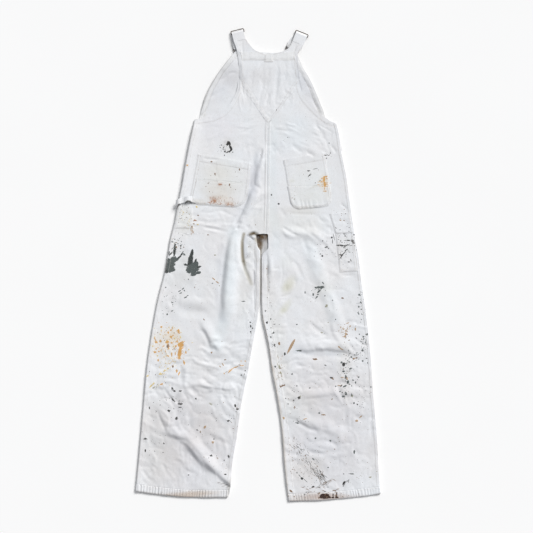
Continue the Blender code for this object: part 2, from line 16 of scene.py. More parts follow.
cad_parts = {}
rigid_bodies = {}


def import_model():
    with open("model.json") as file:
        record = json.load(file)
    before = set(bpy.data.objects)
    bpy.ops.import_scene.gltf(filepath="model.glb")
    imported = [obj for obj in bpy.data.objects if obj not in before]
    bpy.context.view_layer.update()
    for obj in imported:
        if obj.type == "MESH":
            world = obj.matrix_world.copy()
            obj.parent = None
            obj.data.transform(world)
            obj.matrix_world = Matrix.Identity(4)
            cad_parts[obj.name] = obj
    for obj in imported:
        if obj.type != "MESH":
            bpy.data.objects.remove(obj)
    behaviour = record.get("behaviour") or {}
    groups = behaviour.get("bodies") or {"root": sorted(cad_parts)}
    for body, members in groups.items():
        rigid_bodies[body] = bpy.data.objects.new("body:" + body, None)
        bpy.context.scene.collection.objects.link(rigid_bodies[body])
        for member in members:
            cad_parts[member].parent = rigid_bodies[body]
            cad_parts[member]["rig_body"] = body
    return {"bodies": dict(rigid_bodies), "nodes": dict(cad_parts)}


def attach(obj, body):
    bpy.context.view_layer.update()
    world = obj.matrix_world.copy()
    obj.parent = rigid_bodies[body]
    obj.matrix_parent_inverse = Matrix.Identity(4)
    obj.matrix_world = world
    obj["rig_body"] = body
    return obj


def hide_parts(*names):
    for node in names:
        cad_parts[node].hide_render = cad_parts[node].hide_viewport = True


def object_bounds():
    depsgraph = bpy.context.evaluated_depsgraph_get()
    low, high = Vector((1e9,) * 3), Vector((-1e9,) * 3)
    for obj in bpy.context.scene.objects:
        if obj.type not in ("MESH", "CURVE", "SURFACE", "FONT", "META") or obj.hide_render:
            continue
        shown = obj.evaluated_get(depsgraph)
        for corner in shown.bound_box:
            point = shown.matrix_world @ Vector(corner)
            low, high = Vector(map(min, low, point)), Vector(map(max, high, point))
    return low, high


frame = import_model()
for thing in list(bpy.data.objects):
    if "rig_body" not in thing and thing not in frame["bodies"].values():
        bpy.data.objects.remove(thing)
cad_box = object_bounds()

MM = 0.001
ROOT = "root"

# ---------------------------------------------------------------- the cut of the overalls

CLOTH = 1.2  # thickness of the drill
HEM_CLOTH = 1.0  # thickness of a turned hem or facing
SEAM = 0.3  # space between two pieces that meet at a seam
LAID = 0.35  # space between a panel and a piece sewn on it
BACK = 5.6  # top of the back layer above the surface
LOWEST_TOP = 3.6  # the top of the back layer in the deepest trough
PRESSED = 0.9  # how far the creases of the front layer lift it off the surface
SHOULDER = 3.6  # how much higher the back layer lies over the bib's corners
SHOULDER_FROM, SHOULDER_RUN = 520.0, 65.0
CROTCH = 90.0  # where the centre seam ends at the top of the legs
CROTCH_ROWS = (88.0, 89.4, 90.6)  # rows close together at the crotch's corner
LAST_LEVEL = 396.0  # the last row of a back panel that runs level, just below the armhole
LEG_HEM = 22.0
LEVEL_FROM = -300.0  # below here the rows start to slant towards the hem
SAG_FROM, SAG_RUN = -520.0, 100.0  # where the rows start to sag towards the hem

# The outline and the inside of each leg from the hem up, with the columns y and x.
SIDE_LEFT = [
    (-666, -361), (-535, -349), (-397, -337), (-304, -328.5), (-228, -318), (-162, -307),
    (-95, -294), (-22, -275), (31, -266), (73, -259), (135, -244), (191, -234), (228, -226),
    (286, -216), (335, -207), (384, -197), (428, -187),
]
SIDE_RIGHT = [
    (-674, 361), (-600, 356), (-535, 353), (-469, 348), (-377, 340), (-311, 336), (-213, 327),
    (-153, 320), (-108, 314), (-48, 305), (22, 297), (76, 287), (140, 277.5), (187, 271),
    (262, 260.5), (329, 247), (397, 237), (416, 231),
]
INSIDE_LEFT = [
    (-684, -88.5), (-656, -80.5), (-587, -75), (-508, -62), (-416, -49), (-358, -38),
    (-311, -28), (-282, -23.5), (-198, -8.5), (-150, 0), (-95, 6.2), (-40, 6.7), (14, 7.0),
]
INSIDE_RIGHT = [
    (-696, 90), (-640, 82), (-574, 75.5), (-508, 71), (-442, 63.5), (-377, 53), (-311, 40),
    (-243, 31), (-198, 22), (-150, 11.5), (-95, 9.2), (-40, 9.0), (14, 8.6),
]
# How the inside edges go on from there: open at the back below the crotch, joined at the front.
OPEN_LEFT = [(37, 7), (55, -2), (88, -6)]
OPEN_RIGHT = [(30, 12), (50, 29), (88, 29)]
FORK_LEFT = [(45, 17.9)]
FORK_RIGHT = [(45, 18.1)]
CENTRE_FRONT = 18.0
CENTRE_BACK = [(93, 23.5), (200, 26.5), (300, 28), (415, 29)]

# The back armholes from the side seam up to the yoke, with the columns x and y.
ARMHOLE_LEFT = [
    (-187, 428), (-160, 431), (-138, 434), (-120, 441), (-104, 450), (-88, 466),
    (-74.5, 487), (-62.5, 515), (-57.6, 545.6),
]
ARMHOLE_RIGHT = [
    (231, 416), (212, 424), (199, 432), (186, 441), (174, 452), (160, 466),
    (146, 482), (134, 500), (125.5, 521), (123.8, 545.4),
]
# The yoke's seam, with the columns y, x on the left, x on the right.
YOKE_SEAM = [
    (416.5, 28.0, 30.4), (432, 17.9, 45.0), (450, 6.2, 62.0), (469, -6.2, 74.0),
    (488, -18.6, 86.0), (506, -30.4, 97.5), (524, -42.1, 109.0), (545, -55.8, 122.9),
]
# The yoke above its seam, with the columns y, left x, right x.
YOKE_SIDES = [(561, -55.6, 122), (578, -55.6, 119.5), (594, -57.2, 118), (607, -58.6, 117), (620, -60.5, 116)]
# Rows of the two shoulder arms, with the columns left x, left y, right x, right y.
ARM_LEFT = [
    (-60.5, 620, 17, 620), (-61.5, 626, 4, 625), (-63, 632, -9, 631),
    (-65.5, 641, -23, 645), (-69, 650, -32, 657), (-72.3, 658.6, -38.3, 667),
]
ARM_RIGHT = [
    (42, 620, 116, 620), (62, 624.5, 118, 625), (78, 630, 121, 630.5),
    (90, 638, 125.5, 636.5), (97, 649, 130, 642), (101.4, 659.5, 133.8, 646.4),
]
# Rows of the bib, with the columns left x, left y, right x, right y.
BIB = [
    (-207, 335.3, 248, 335.3), (-202, 360, 243, 360), (-197, 384, 239.5, 384),
    (-188, 420, 230, 412), (-174, 432, 200, 426), (-166, 460, 194, 448),
    (-158, 487, 182.5, 477), (-146.5, 515, 171, 505), (-133, 541, 159, 533),
    (-117, 566, 145.5, 558), (-99, 590, 132, 580), (-82, 611, 122.5, 601), (-66, 630, 115, 619),
]
BIB_SIDE_HEM, BIB_TOP_HEM = 15.0, 13.0
BUTTONS = {"left": (-42.0, 607.0), "right": (92.0, 601.0)}
BIB_HEMS_FROM = 425.0  # the bib's side hems start above here
BUTTON_LIFT = 4.9  # a button and its buckle hold the bib up by this much
BUTTON_NEAR, BUTTON_RUN = 30.0, 65.0

# The pieces sewn flat on the back panels, as corners with the columns x, y, radius: the upper
# left one, the upper right, the lower right and the lower left.
POCKET_LEFT = [(-177, 325, 0), (-21, 297, 0), (-32, 165, 46), (-205, 178, 30)]
PATCH_LEFT = [(-183, 251, 0), (-29, 238, 0), (-34, 167, 44), (-202, 180, 28)]
POCKET_RIGHT = [(74, 308, 0), (196, 330, 0), (222, 172, 28), (98, 160, 28)]
PATCH_RIGHT = [(86, 231, 0), (211, 231, 0), (219, 174, 26), (100, 162, 26)]
TOOL_LEFT = [(-236, 170, 0), (-193, 170, 0), (-189, 106, 0), (-247, 106, 0)]
TOOL_RIGHT_UPPER = [(210, 150, 0), (269, 152, 0), (281, 93, 0), (228, 89.6, 0)]
TOOL_RIGHT_LOWER = [(228, 88, 0), (282, 91, 0), (294, -20, 0), (240, -23, 0)]
TAB = [(18, 616, 0), (44, 616, 0), (44, 596, 0), (18, 596, 0)]

# The hammer loop along its middle, with the columns x, y, height above the panel.
LOOP = [
    (-241, 181, 0.4), (-238, 183, 3.2), (-234, 185, 5.0), (-229, 187, 3.4), (-224, 188.5, 1.4),
    (-219, 190, 1.8), (-213, 192, 5.2), (-206, 193, 7.6), (-199, 192.5, 5.4), (-194, 191.5, 3.0),
    (-188, 190.5, 2.5), (-182, 190, 2.4),
]
LOOP_HALF = 8.0

# Each strap, with the place of its fold, its lean from +Y in degrees, how far its lower end
# drifts sideways, and how far back below itself it runs to the buckle.
STRAPS = {
    "left": dict(fold=(-61.1, 686.4), lean=14.0, drift=-5.0, back=47.4),
    "right": dict(fold=(128.2, 679.3), lean=-22.0, drift=-9.5, back=50.0),
}
STRAP_HALF = 17.6
STRAP_STARTS = {"left": 24.0, "right": 26.2}

# ---------------------------------------------------------------- creases

# Each row is a crest as (x, y) points, how far it spreads to the left and to the right of the
# way that the crest runs, its height, and how sharp it is. A trough is below 0.
FOLDS = [
    ([(-58, 124), (-70, 80), (-79, 40), (-85, -10), (-91, -80), (-96, -140), (-108, -196)], 40, 22, 9.0, 0),
    ([(-172, -156), (-154, -190), (-140, -215), (-119, -245), (-96, -266)], 30, 14, 4.2, 0.1),
    ([(-160, -372), (-110, -330), (-60, -303)], 24, 24, 3.0, 0),
    ([(-244, -352), (-190, -358), (-130, -366), (-84, -371), (-34, -364)], 26, 15, 3.4, 0),
    ([(-300, -396), (-274, -446), (-254, -484), (-232, -502), (-196, -514)], 40, 22, 2.6, 0),
    ([(-290, -484), (-240, -503), (-206, -516), (-176, -548)], 38, 15, 3.6, 0),
    ([(-224, -508), (-188, -544), (-158, -576), (-112, -614)], 36, 18, 8.2, 0),
    ([(-166, -566), (-140, -596), (-108, -622), (-50, -670)], 34, 11, 5.4, 0.1),
    ([(0, 246), (-18, 204), (-36, 164), (-58, 118), (-76, 84)], 26, 13, 4.6, 0),
    ([(20, 362), (14, 318), (2, 276), (-10, 230)], 12, 22, 3.0, 0),
    ([(-286, -506), (-250, -522), (-214, -536), (-176, -592), (-128, -640)], 12, 22, -1.4, 0),
    ([(58, 110), (100, 93), (150, 92), (206, 46)], 24, 22, 3.5, 0),
    ([(140, 84), (166, 10), (196, -70), (236, -170), (264, -256)], 30, 34, 3.0, 0),
    ([(98, -230), (164, -236), (244, -236), (306, -224)], 24, 30, 3.2, 0),
    ([(106, -264), (164, -270), (244, -268), (298, -256)], 20, 22, -1.8, 0),
    ([(80, -386), (200, -380), (334, -368)], 24, 20, 3.0, 0),
    ([(88, -440), (140, -462), (190, -478), (236, -500), (254, -534)], 34, 18, 2.8, 0),
    ([(34, 232), (11, 212), (-24, 182), (-52, 150)], 20, 20, 2.5, 0),
    ([(96, 366), (150, 342), (186, 322)], 24, 12, 1.0, 0),
]
SEAT_CREASES = [
    ([(14, 346), (8, 322), (-4, 312)], 7, 9, -1.2, 0.5),
    ([(-16, 312), (-12, 286), (-20, 268)], 8, 8, -0.9, 0.4),
    ([(4, 292), (6, 274), (2, 262)], 9, 8, -0.9, 0.3),
    ([(2, 312), (-8, 276), (-17, 242), (-20, 206)], 13, 15, -3.8, 0.2),
    ([(-16, 244), (-4, 230), (12, 222)], 6, 9, -1.6, 0.5),
    ([(12, 344), (7, 320), (0, 292)], 8, 10, -2.0, 0.4),
    ([(-64, 100), (-58, 118), (-48, 128)], 9, 9, -2.4, 0.4),
    ([(4, 256), (2, 240), (10, 236)], 6, 8, 0.9, 0.3),
    ([(-28, 214), (-32, 190), (-42, 168), (-58, 138), (-72, 104)], 16, 10, -4.4, 0.4),
    ([(10, 214), (-4, 192), (-28, 158), (-40, 132)], 10, 14, 2.4, 0.3),
    ([(10, 172), (0, 150), (-14, 134), (-12, 108)], 8, 8, -1.5, 0.5),
    ([(18, 178), (10, 166), (-12, 168), (-26, 160)], 7, 7, 1.0, 0.4),
    ([(-78, 403), (-30, 399), (0, 400)], 5, 6, -0.6, 0.4),
    ([(-56, 388), (-34, 391), (-8, 390)], 4, 5, -0.6, 0.4),
    ([(44, 397), (80, 395), (112, 390)], 5, 6, -0.8, 0.5),
    ([(62, 386), (100, 383)], 5, 5, 0.4, 0.3),
    ([(96, 358), (116, 338), (140, 328)], 9, 9, -0.9, 0.3),
    ([(140, 334), (152, 326), (168, 317)], 6, 7, -1.3, 0.5),
    ([(168, 430), (176, 404), (190, 384), (196, 360)], 10, 14, -1.2, 0.3),
    ([(210, 354), (222, 342), (232, 326)], 7, 8, -1.3, 0.5),
    ([(38, 356), (50, 336), (66, 326)], 12, 12, -0.6, 0.2),
    ([(-150, 372), (-146, 352), (-160, 334)], 14, 14, -0.5, 0.2),
    ([(-166, 318), (-150, 311), (-112, 309)], 5, 6, -1.0, 0.5),
    ([(-118, 285), (-122, 268), (-114, 252)], 6, 6, -0.7, 0.4),
    ([(222, 190), (212, 196), (214, 214)], 6, 6, -0.8, 0.4),
    ([(240, 182), (252, 172), (264, 160)], 6, 7, -1.2, 0.5),
    ([(60, 168), (76, 148), (84, 130)], 12, 12, -0.8, 0.2),
    ([(72, 160), (110, 150), (180, 148)], 6, 8, -0.7, 0.3),
    ([(-178, 158), (-150, 152), (-112, 158), (-86, 150)], 8, 8, -0.9, 0.3),
    ([(-170, 140), (-140, 132), (-96, 138)], 8, 9, 0.8, 0.3),
]
LEFT_LEG_CREASES = [
    ([(-172, 117), (-140, 114), (-104, 108)], 9, 8, 1.4, 0.4),
    ([(-168, 111), (-138, 108), (-112, 101), (-84, 98)], 7, 10, -2.2, 0.5),
    ([(-72, 108), (-90, 60), (-98, 10), (-104, -40), (-110, -90), (-104, -158)], 9, 12, -1.6, 0.4),
    ([(-42, 98), (-47, 82), (-47, 50), (-46, 12), (-38, -16), (-26, -44), (-14, -64)], 7, 8, -3.4, 0.4),
    ([(-60, 96), (-62, 50), (-60, 10), (-48, -30)], 12, 10, 1.4, 0),
    ([(-34, 90), (-22, 81), (-12, 74)], 4, 5, -2.2, 0.7),
    ([(-22, 80), (-14, 80), (-6, 77)], 6, 5, 1.6, 0.3),
    ([(-28, 92), (-14, 94), (2, 88)], 4, 6, -2.6, 0.6),
    ([(-38, 32), (-28, 33), (-16, 38)], 9, 6, 1.5, 0.3),
    ([(-34, 14), (-26, 4), (-14, -6)], 8, 10, 1.2, 0.3),
    ([(-16, 16), (-11, 0), (-10, -18)], 5, 5, -0.9, 0.4),
    ([(-34, 66), (-26, 52), (-32, 40)], 8, 9, -1.2, 0.2),
    ([(-10, 62), (-12, 36), (-7, 10)], 5, 6, -1.1, 0.4),
    ([(-4, 50), (-3, 10), (-2, -60)], 4, 4, 0.5, 0.2),
    ([(-24, -17), (-13, -20), (-11, -40), (-12, -62)], 5, 6, -2.4, 0.5),
    ([(-38, 116), (-28, 108), (-20, 98)], 6, 7, -1.4, 0.5),
    ([(-14, -60), (-12, -110), (-10, -150)], 6, 5, -1.2, 0.4),
    ([(-250, -104), (-210, -108), (-140, -120)], 26, 20, 1.7, 0),
    ([(-248, -134), (-200, -140), (-132, -146)], 18, 24, -1.6, 0),
    ([(-62, -110), (-44, -108), (-32, -104)], 6, 8, -0.7, 0.3),
    ([(-182, -192), (-162, -196), (-150, -216), (-142, -248), (-132, -262)], 7, 12, -2.2, 0.4),
    ([(-166, -270), (-140, -276), (-104, -278)], 8, 8, -2.0, 0.4),
    ([(-166, -274), (-154, -286), (-142, -291)], 5, 6, -1.3, 0.5),
    ([(-202, -262), (-176, -289), (-140, -298), (-112, -303)], 8, 8, 1.6, 0.3),
    ([(-156, -302), (-146, -318), (-130, -329), (-112, -332)], 5, 8, -1.8, 0.5),
    ([(-86, -235), (-62, -233), (-38, -226)], 7, 9, -1.0, 0.3),
    ([(-226, -286), (-229, -320), (-226, -356)], 10, 8, -1.5, 0.2),
    ([(-212, -284), (-213, -320), (-216, -352), (-190, -392), (-170, -412)], 12, 8, 1.6, 0.2),
    ([(-226, -366), (-214, -386), (-200, -401)], 6, 7, -1.6, 0.5),
    ([(-206, -354), (-170, -361), (-120, -368), (-84, -372), (-50, -360)], 7, 14, -3.2, 0.4),
    ([(-120, -352), (-90, -356), (-64, -350)], 9, 7, 0.8, 0.2),
    ([(-188, -374), (-166, -390), (-146, -400)], 5, 7, -1.5, 0.5),
    ([(-146, -408), (-132, -415), (-122, -426)], 5, 6, -1.3, 0.5),
    ([(-78, -390), (-62, -396), (-48, -406)], 6, 7, -1.3, 0.4),
    ([(-262, -384), (-246, -398), (-226, -414)], 6, 6, -1.5, 0.5),
    ([(-212, -430), (-202, -452), (-198, -482)], 12, 12, -1.2, 0.1),
    ([(-300, -424), (-286, -458), (-268, -500)], 6, 8, -1.8, 0.4),
    ([(-334, -436), (-316, -448), (-296, -456)], 9, 10, -0.9, 0.2),
    ([(-284, -500), (-252, -511), (-216, -516), (-200, -530), (-164, -574), (-140, -600),
     (-88, -640)], 12, 9, -2.4, 0.3),
    ([(-152, -503), (-106, -520), (-70, -534)], 10, 12, -1.2, 0.2),
    ([(-196, -484), (-150, -492), (-104, -506)], 12, 10, 0.8, 0.2),
    ([(-344, -596), (-332, -618), (-310, -642)], 8, 9, -1.3, 0.3),
    ([(-286, -580), (-274, -604), (-262, -634)], 9, 9, -1.1, 0.2),
    ([(-300, -560), (-310, -600), (-296, -640)], 12, 12, 0.8, 0.1),
    ([(-210, -586), (-190, -590), (-172, -594)], 5, 6, -0.7, 0.4),
    ([(-330, -300), (-322, -340), (-318, -372)], 9, 10, -0.8, 0.1),
    ([(-304, -296), (-298, -336), (-300, -372)], 8, 8, -0.7, 0.1),
    ([(-120, -632), (-100, -644), (-82, -652)], 5, 6, -1.6, 0.5),
]
RIGHT_LEG_CREASES = [
    ([(25, 50), (27, 14), (28, -30), (31, -80)], 5, 6, -3.0, 0.5),
    ([(17, 44), (18, 0), (17, -70)], 6, 5, 1.0, 0.2),
    ([(36, 40), (38, -10), (42, -60)], 9, 7, 0.9, 0.2),
    ([(62, 114), (82, 104), (104, 92), (130, 82)], 6, 9, -2.0, 0.5),
    ([(74, 100), (92, 84), (112, 78)], 8, 10, 1.2, 0.2),
    ([(144, 104), (156, 92), (178, 72), (214, 45)], 9, 12, -1.6, 0.3),
    ([(130, 82), (138, 60), (150, 26)], 12, 10, -1.2, 0.2),
    ([(86, 20), (108, 4), (124, -22), (132, -46)], 10, 14, -1.2, 0.2),
    ([(70, 4), (72, -28), (66, -60)], 5, 6, -1.2, 0.4),
    ([(44, -12), (62, -10)], 5, 6, -1.0, 0.4),
    ([(58, -94), (80, -92), (100, -80)], 5, 6, -1.0, 0.5),
    ([(62, -104), (84, -103)], 4, 5, -0.8, 0.5),
    ([(100, -42), (112, -50), (106, -66)], 6, 6, -0.8, 0.4),
    ([(78, -134), (88, -122), (98, -112)], 6, 6, -0.9, 0.4),
    ([(82, -60), (84, -76)], 5, 5, -0.7, 0.4),
    ([(200, -80), (214, -112), (222, -146)], 10, 14, -1.2, 0.1),
    ([(146, -164), (176, -192), (212, -214)], 8, 14, -1.8, 0.2),
    ([(216, -160), (224, -200), (248, -236)], 14, 10, 1.4, 0.2),
    ([(96, -248), (146, -262), (196, -259), (244, -262), (300, -282)], 12, 14, -3.0, 0.2),
    ([(130, -250), (180, -246), (236, -248)], 12, 8, 1.0, 0),
    ([(262, -226), (276, -244), (290, -262)], 8, 9, -1.3, 0.3),
    ([(62, -294), (88, -292)], 5, 6, -0.8, 0.3),
    ([(70, -314), (78, -330), (80, -342)], 6, 6, -1.1, 0.4),
    ([(120, -340), (152, -326), (182, -330)], 16, 16, -0.8, 0),
    ([(76, -392), (96, -402), (112, -400)], 6, 7, -1.6, 0.5),
    ([(128, -396), (176, -392), (236, -382)], 7, 9, -1.3, 0.3),
    ([(88, -424), (100, -432)], 8, 8, -1.0, 0.3),
    ([(102, -456), (132, -472), (158, -486), (182, -490)], 7, 10, -2.4, 0.4),
    ([(184, -478), (206, -480)], 7, 8, -1.2, 0.3),
    ([(188, -512), (212, -522), (228, -532), (236, -548)], 9, 11, -1.6, 0.2),
    ([(138, -546), (170, -556), (208, -553)], 8, 10, -1.9, 0.3),
    ([(140, -520), (176, -530), (210, -538)], 12, 12, 1.0, 0.2),
    ([(244, -470), (240, -500), (248, -530)], 14, 12, 0.9, 0),
    ([(262, -524), (276, -528)], 8, 8, -0.8, 0.3),
    ([(338, -430), (332, -470), (336, -520)], 9, 9, -1.0, 0.1),
    ([(318, -60), (308, -30), (304, -4)], 8, 8, -0.8, 0.1),
    ([(330, -600), (346, -590)], 7, 8, -0.8, 0.2),
    ([(106, -500), (98, -512), (104, -526)], 6, 7, -0.9, 0.3),
    ([(240, -30), (262, -32), (294, -27)], 4, 6, -1.2, 0.5),
]
YOKE_CREASES = [
    ([(58, 592), (57, 560), (53, 510), (48, 470)], 9, 12, -1.2, 0.3),
    ([(66, 588), (64, 540), (60, 490)], 8, 8, 0.5, 0.2),
    ([(38, 582), (30, 568), (24, 552)], 5, 5, -0.7, 0.4),
    ([(18, 592), (12, 574), (4, 558)], 5, 5, -0.6, 0.4),
    ([(-14, 580), (-16, 554), (-18, 530)], 6, 6, -0.5, 0.3),
    ([(16, 548), (15, 524)], 5, 5, -0.5, 0.3),
    ([(-44, 562), (-46, 520), (-40, 484)], 7, 8, -0.9, 0.2),
    ([(34, 510), (28, 486), (24, 462)], 6, 7, -0.7, 0.3),
    ([(40, 500), (36, 470)], 5, 6, 0.5, 0.3),
    ([(80, 494), (74, 486)], 6, 6, -0.7, 0.4),
    ([(92, 560), (90, 520)], 8, 8, -0.5, 0.2),
    ([(-45, 664), (-46, 640), (-42, 608)], 4, 5, -0.8, 0.5),
    ([(112, 652), (108, 630), (106, 604)], 4, 5, -0.8, 0.5),
    ([(2, 598), (30, 601), (44, 600)], 3, 4, -0.7, 0.5),
    ([(46, 612), (70, 604), (92, 606)], 3, 4, -0.6, 0.5),
]
BIB_CREASES = [
    ([(-180, 430), (-162, 480), (-136, 536), (-102, 588), (-66, 632)], 16, 46, 3.4, 0),
    ([(196, 420), (180, 480), (156, 540), (126, 596)], 40, 30, 0.9, 0),
    ([(-150, 492), (-130, 500), (-96, 520)], 9, 9, -0.9, 0.3),
    ([(-128, 540), (-104, 548), (-76, 572)], 7, 8, -0.8, 0.4),
    ([(-90, 560), (-74, 566), (-62, 560)], 7, 8, -1.0, 0.4),
    ([(142, 530), (160, 514)], 6, 6, -0.7, 0.4),
    ([(130, 560), (144, 540)], 6, 6, 0.7, 0.3),
    ([(150, 500), (170, 470), (186, 440)], 8, 8, -0.8, 0.3),
]
# Places with many small creases: x, y, spread across, spread along, how many, their usual
# direction in degrees, how far they stray from it, their length, their reach and their height.
MINOR_CREASES = [
    (30, 530, 84, 60, 90, 85, 20, 46, 5.0, 0.42), (-90, 396, 90, 40, 22, 8, 25, 44, 6, 0.35),
    (-12, 270, 34, 90, 34, 66, 45, 34, 8, 0.45), (120, 376, 90, 50, 34, -32, 28, 42, 6, 0.50),
    (-130, 130, 100, 34, 30, -4, 24, 44, 6, 0.60), (150, 120, 110, 34, 30, -8, 30, 40, 7, 0.50),
    (-180, -20, 90, 110, 54, 78, 45, 40, 8, 0.45), (-40, -80, 34, 130, 46, 84, 28, 34, 5, 0.50),
    (-150, -312, 140, 90, 150, -8, 34, 46, 7, 0.85), (-200, -480, 130, 110, 120, -50, 30, 54, 8, 0.75),
    (-210, -610, 130, 44, 80, -70, 40, 34, 7, 0.60), (150, 10, 120, 110, 70, -56, 45, 42, 8, 0.45),
    (180, -280, 140, 110, 140, -4, 32, 46, 7, 0.65), (190, -480, 140, 110, 110, -18, 40, 50, 8, 0.65),
    (220, -620, 130, 44, 60, -20, 60, 34, 7, 0.45), (60, -300, 26, 260, 60, 60, 50, 26, 5, 0.45),
    (-300, -160, 40, 260, 60, 82, 40, 36, 6, 0.45), (310, -200, 30, 300, 60, 86, 40, 36, 6, 0.40),
    (-90, 290, 70, 40, 16, 85, 30, 26, 5, 0.30), (200, 400, 30, 40, 12, 60, 40, 26, 5, 0.50),
]
FOLD_ENDS = 0.3  # the share of a crease's length over which each end dies away

# How a panel turns round at a side where the front and back layers meet.
TURN_RUN = 3.0
TURN_STEPS = 4
BACK_RIM, FRONT_RIM = 3.3, 3.0
NEAR_RUNS = [0, 1.5, 3, 4.5, 6, 7.5, 9, 10.5, 12, 13.5, 15, 16.5, 18, 20, 22.5]  # columns beside an edge
ROW_STEP = 3.4


def soft(t):
    """A step from 0 to 1 that starts and ends level."""
    t = np.clip(t, 0, 1)
    return t * t * (3 - 2 * t)


def through(table, y, column=1):
    """The x at y of a smooth edge through a table whose first column is y, straight on past its ends."""
    knots, values = (np.array([row[k] for row in table], float) for k in (0, column))
    rises = np.diff(values) / np.diff(knots)
    before, after = np.r_[rises[:1], rises], np.r_[rises, rises[-1:]]
    turns = before * after <= 0
    slopes = np.where(turns, 0, 2 * before * after / np.where(turns, 1, before + after))
    y = np.asarray(y, float)
    inside = np.clip(y, knots[0], knots[-1])
    k = np.clip(np.searchsorted(knots, inside, side="right") - 1, 0, len(knots) - 2)
    step = knots[k + 1] - knots[k]
    t = (inside - knots[k]) / step
    bend = (slopes[k] * (1 - t) - slopes[k + 1] * t) * t * (1 - t) * step
    x = values[k] * (1 + 2 * t) * (1 - t) ** 2 + values[k + 1] * (3 - 2 * t) * t**2 + bend
    return x + np.where(y < knots[0], slopes[0], slopes[-1]) * (y - inside)


def pairs(rows, a, b):
    """The points that two columns of a table give."""
    return [(row[a], row[b]) for row in rows]


def run_along(points):
    """How far along a line each of its points lies."""
    return np.r_[0, np.cumsum(np.linalg.norm(np.diff(points, axis=0), axis=1))]


def moved_left(line, distance):
    """A line moved to its left by a distance."""
    way = np.gradient(line, axis=0)
    way /= np.linalg.norm(way, axis=1, keepdims=True)
    return line + distance * np.stack([-way[:, 1], way[:, 0]], -1)


def along(points, steps):
    """Points spaced evenly along a smooth line through the points given, its ends included."""
    points = np.array(points, float)
    run = run_along(points)
    places = np.linspace(0, run[-1], steps + 1)
    return np.stack([through(list(zip(run, axis)), places) for axis in points.T], 1)


def distance_to(line, x, y):
    """How far points are from a line, on which side of it, how far along it, and its length."""
    near, side, place = np.full(x.shape, np.inf), np.zeros(x.shape), np.zeros(x.shape)
    gone = 0.0
    for (ax, ay), (bx, by) in zip(line, line[1:]):
        dx, dy = bx - ax, by - ay
        size = math.hypot(dx, dy)
        t = np.clip(((x - ax) * dx + (y - ay) * dy) / size**2, 0, 1)
        away = np.hypot(x - ax - t * dx, y - ay - t * dy)
        closer = away < near
        near = np.where(closer, away, near)
        side = np.where(closer, dx * (y - ay) - dy * (x - ax), side)
        place = np.where(closer, gone + t * size, place)
        gone += size
    return near, side, place, gone


def laid_out(creases):
    """The creases with their crests as smooth lines, and the box that each one reaches."""
    made = []
    for crest, left, right, height, sharp in creases:
        line = along(crest, 4 * (len(crest) - 1) + 2)
        reach = max(left, right)
        made.append((line, left, right, height, sharp, line.min(0) - reach, line.max(0) + reach))
    return made


def minor_creases():
    """The many small creases, uneven in length, depth, bend and direction."""
    draw = np.random.default_rng(3)
    made = []
    for x, y, across, along_leg, count, usual, stray, length, reach, height in MINOR_CREASES:
        for _ in range(count):
            middle = np.array((x + across * draw.uniform(-1, 1), y + along_leg * draw.uniform(-1, 1)))
            turn = math.radians(usual + stray * draw.normal())
            way = np.array((math.cos(turn), math.sin(turn))) * length * draw.uniform(0.3, 0.8)
            bend = np.array((-way[1], way[0])) * draw.normal(0, 0.2)
            crest = [tuple(middle - way), tuple(middle + bend), tuple(middle + way)]
            wide = reach * draw.uniform(0.6, 1.4)
            rise = height * draw.choice((-1, 1), p=(0.6, 0.4)) * draw.uniform(0.3, 1.5)
            made.append((crest, wide, wide * draw.uniform(0.8, 1.3), rise, draw.uniform(0, 0.6)))
    return made


def crease_lift(creases, x, y):
    """How much creases lift the cloth at points, each a soft or sharp ridge or trough."""
    lift = np.zeros(x.shape)
    for line, left, right, height, sharp, low, high in creases:
        close = (x > low[0]) & (x < high[0]) & (y > low[1]) & (y < high[1])
        if not close.any():
            continue
        near, side, place, length = distance_to(line, x[close], y[close])
        share = np.clip(near / np.where(side > 0, left, right), 0, 1)
        ends = soft(np.minimum(place, length - place) / (FOLD_ENDS * length))
        bell = 0.5 * (1 + np.cos(np.pi * share)) * (1 - sharp) + (1 - share) ** 2 * sharp
        lift[close] += height * ends * bell
    return lift


def rumple(x, y, size, seed):
    """Smooth unevenness from -1 to 1, in lumps about as large as size."""
    field = np.random.default_rng(seed).uniform(-1, 1, (97, 97))
    u, v = np.asarray(x, float) / size + 500, np.asarray(y, float) / size + 500
    i, j = np.floor(u).astype(int), np.floor(v).astype(int)
    s, t = soft(u - i), soft(v - j)
    near = field[i % 97, j % 97] * (1 - s) + field[(i + 1) % 97, j % 97] * s
    far = field[i % 97, (j + 1) % 97] * (1 - s) + field[(i + 1) % 97, (j + 1) % 97] * s
    return near * (1 - t) + far * t


# ---------------------------------------------------------------- paint, stains and painted shade

SLATE, BLACK, SOOT = (0.078, 0.092, 0.089), (0.024, 0.023, 0.021), (0.036, 0.042, 0.040)
BROWN, RUST, TAR = (0.20, 0.125, 0.075), (0.42, 0.24, 0.16), (0.030, 0.013, 0.008)
ORANGE, YELLOW, TAN, OLIVE = (0.62, 0.35, 0.12), (0.68, 0.53, 0.23), (0.42, 0.29, 0.18), (0.34, 0.33, 0.25)

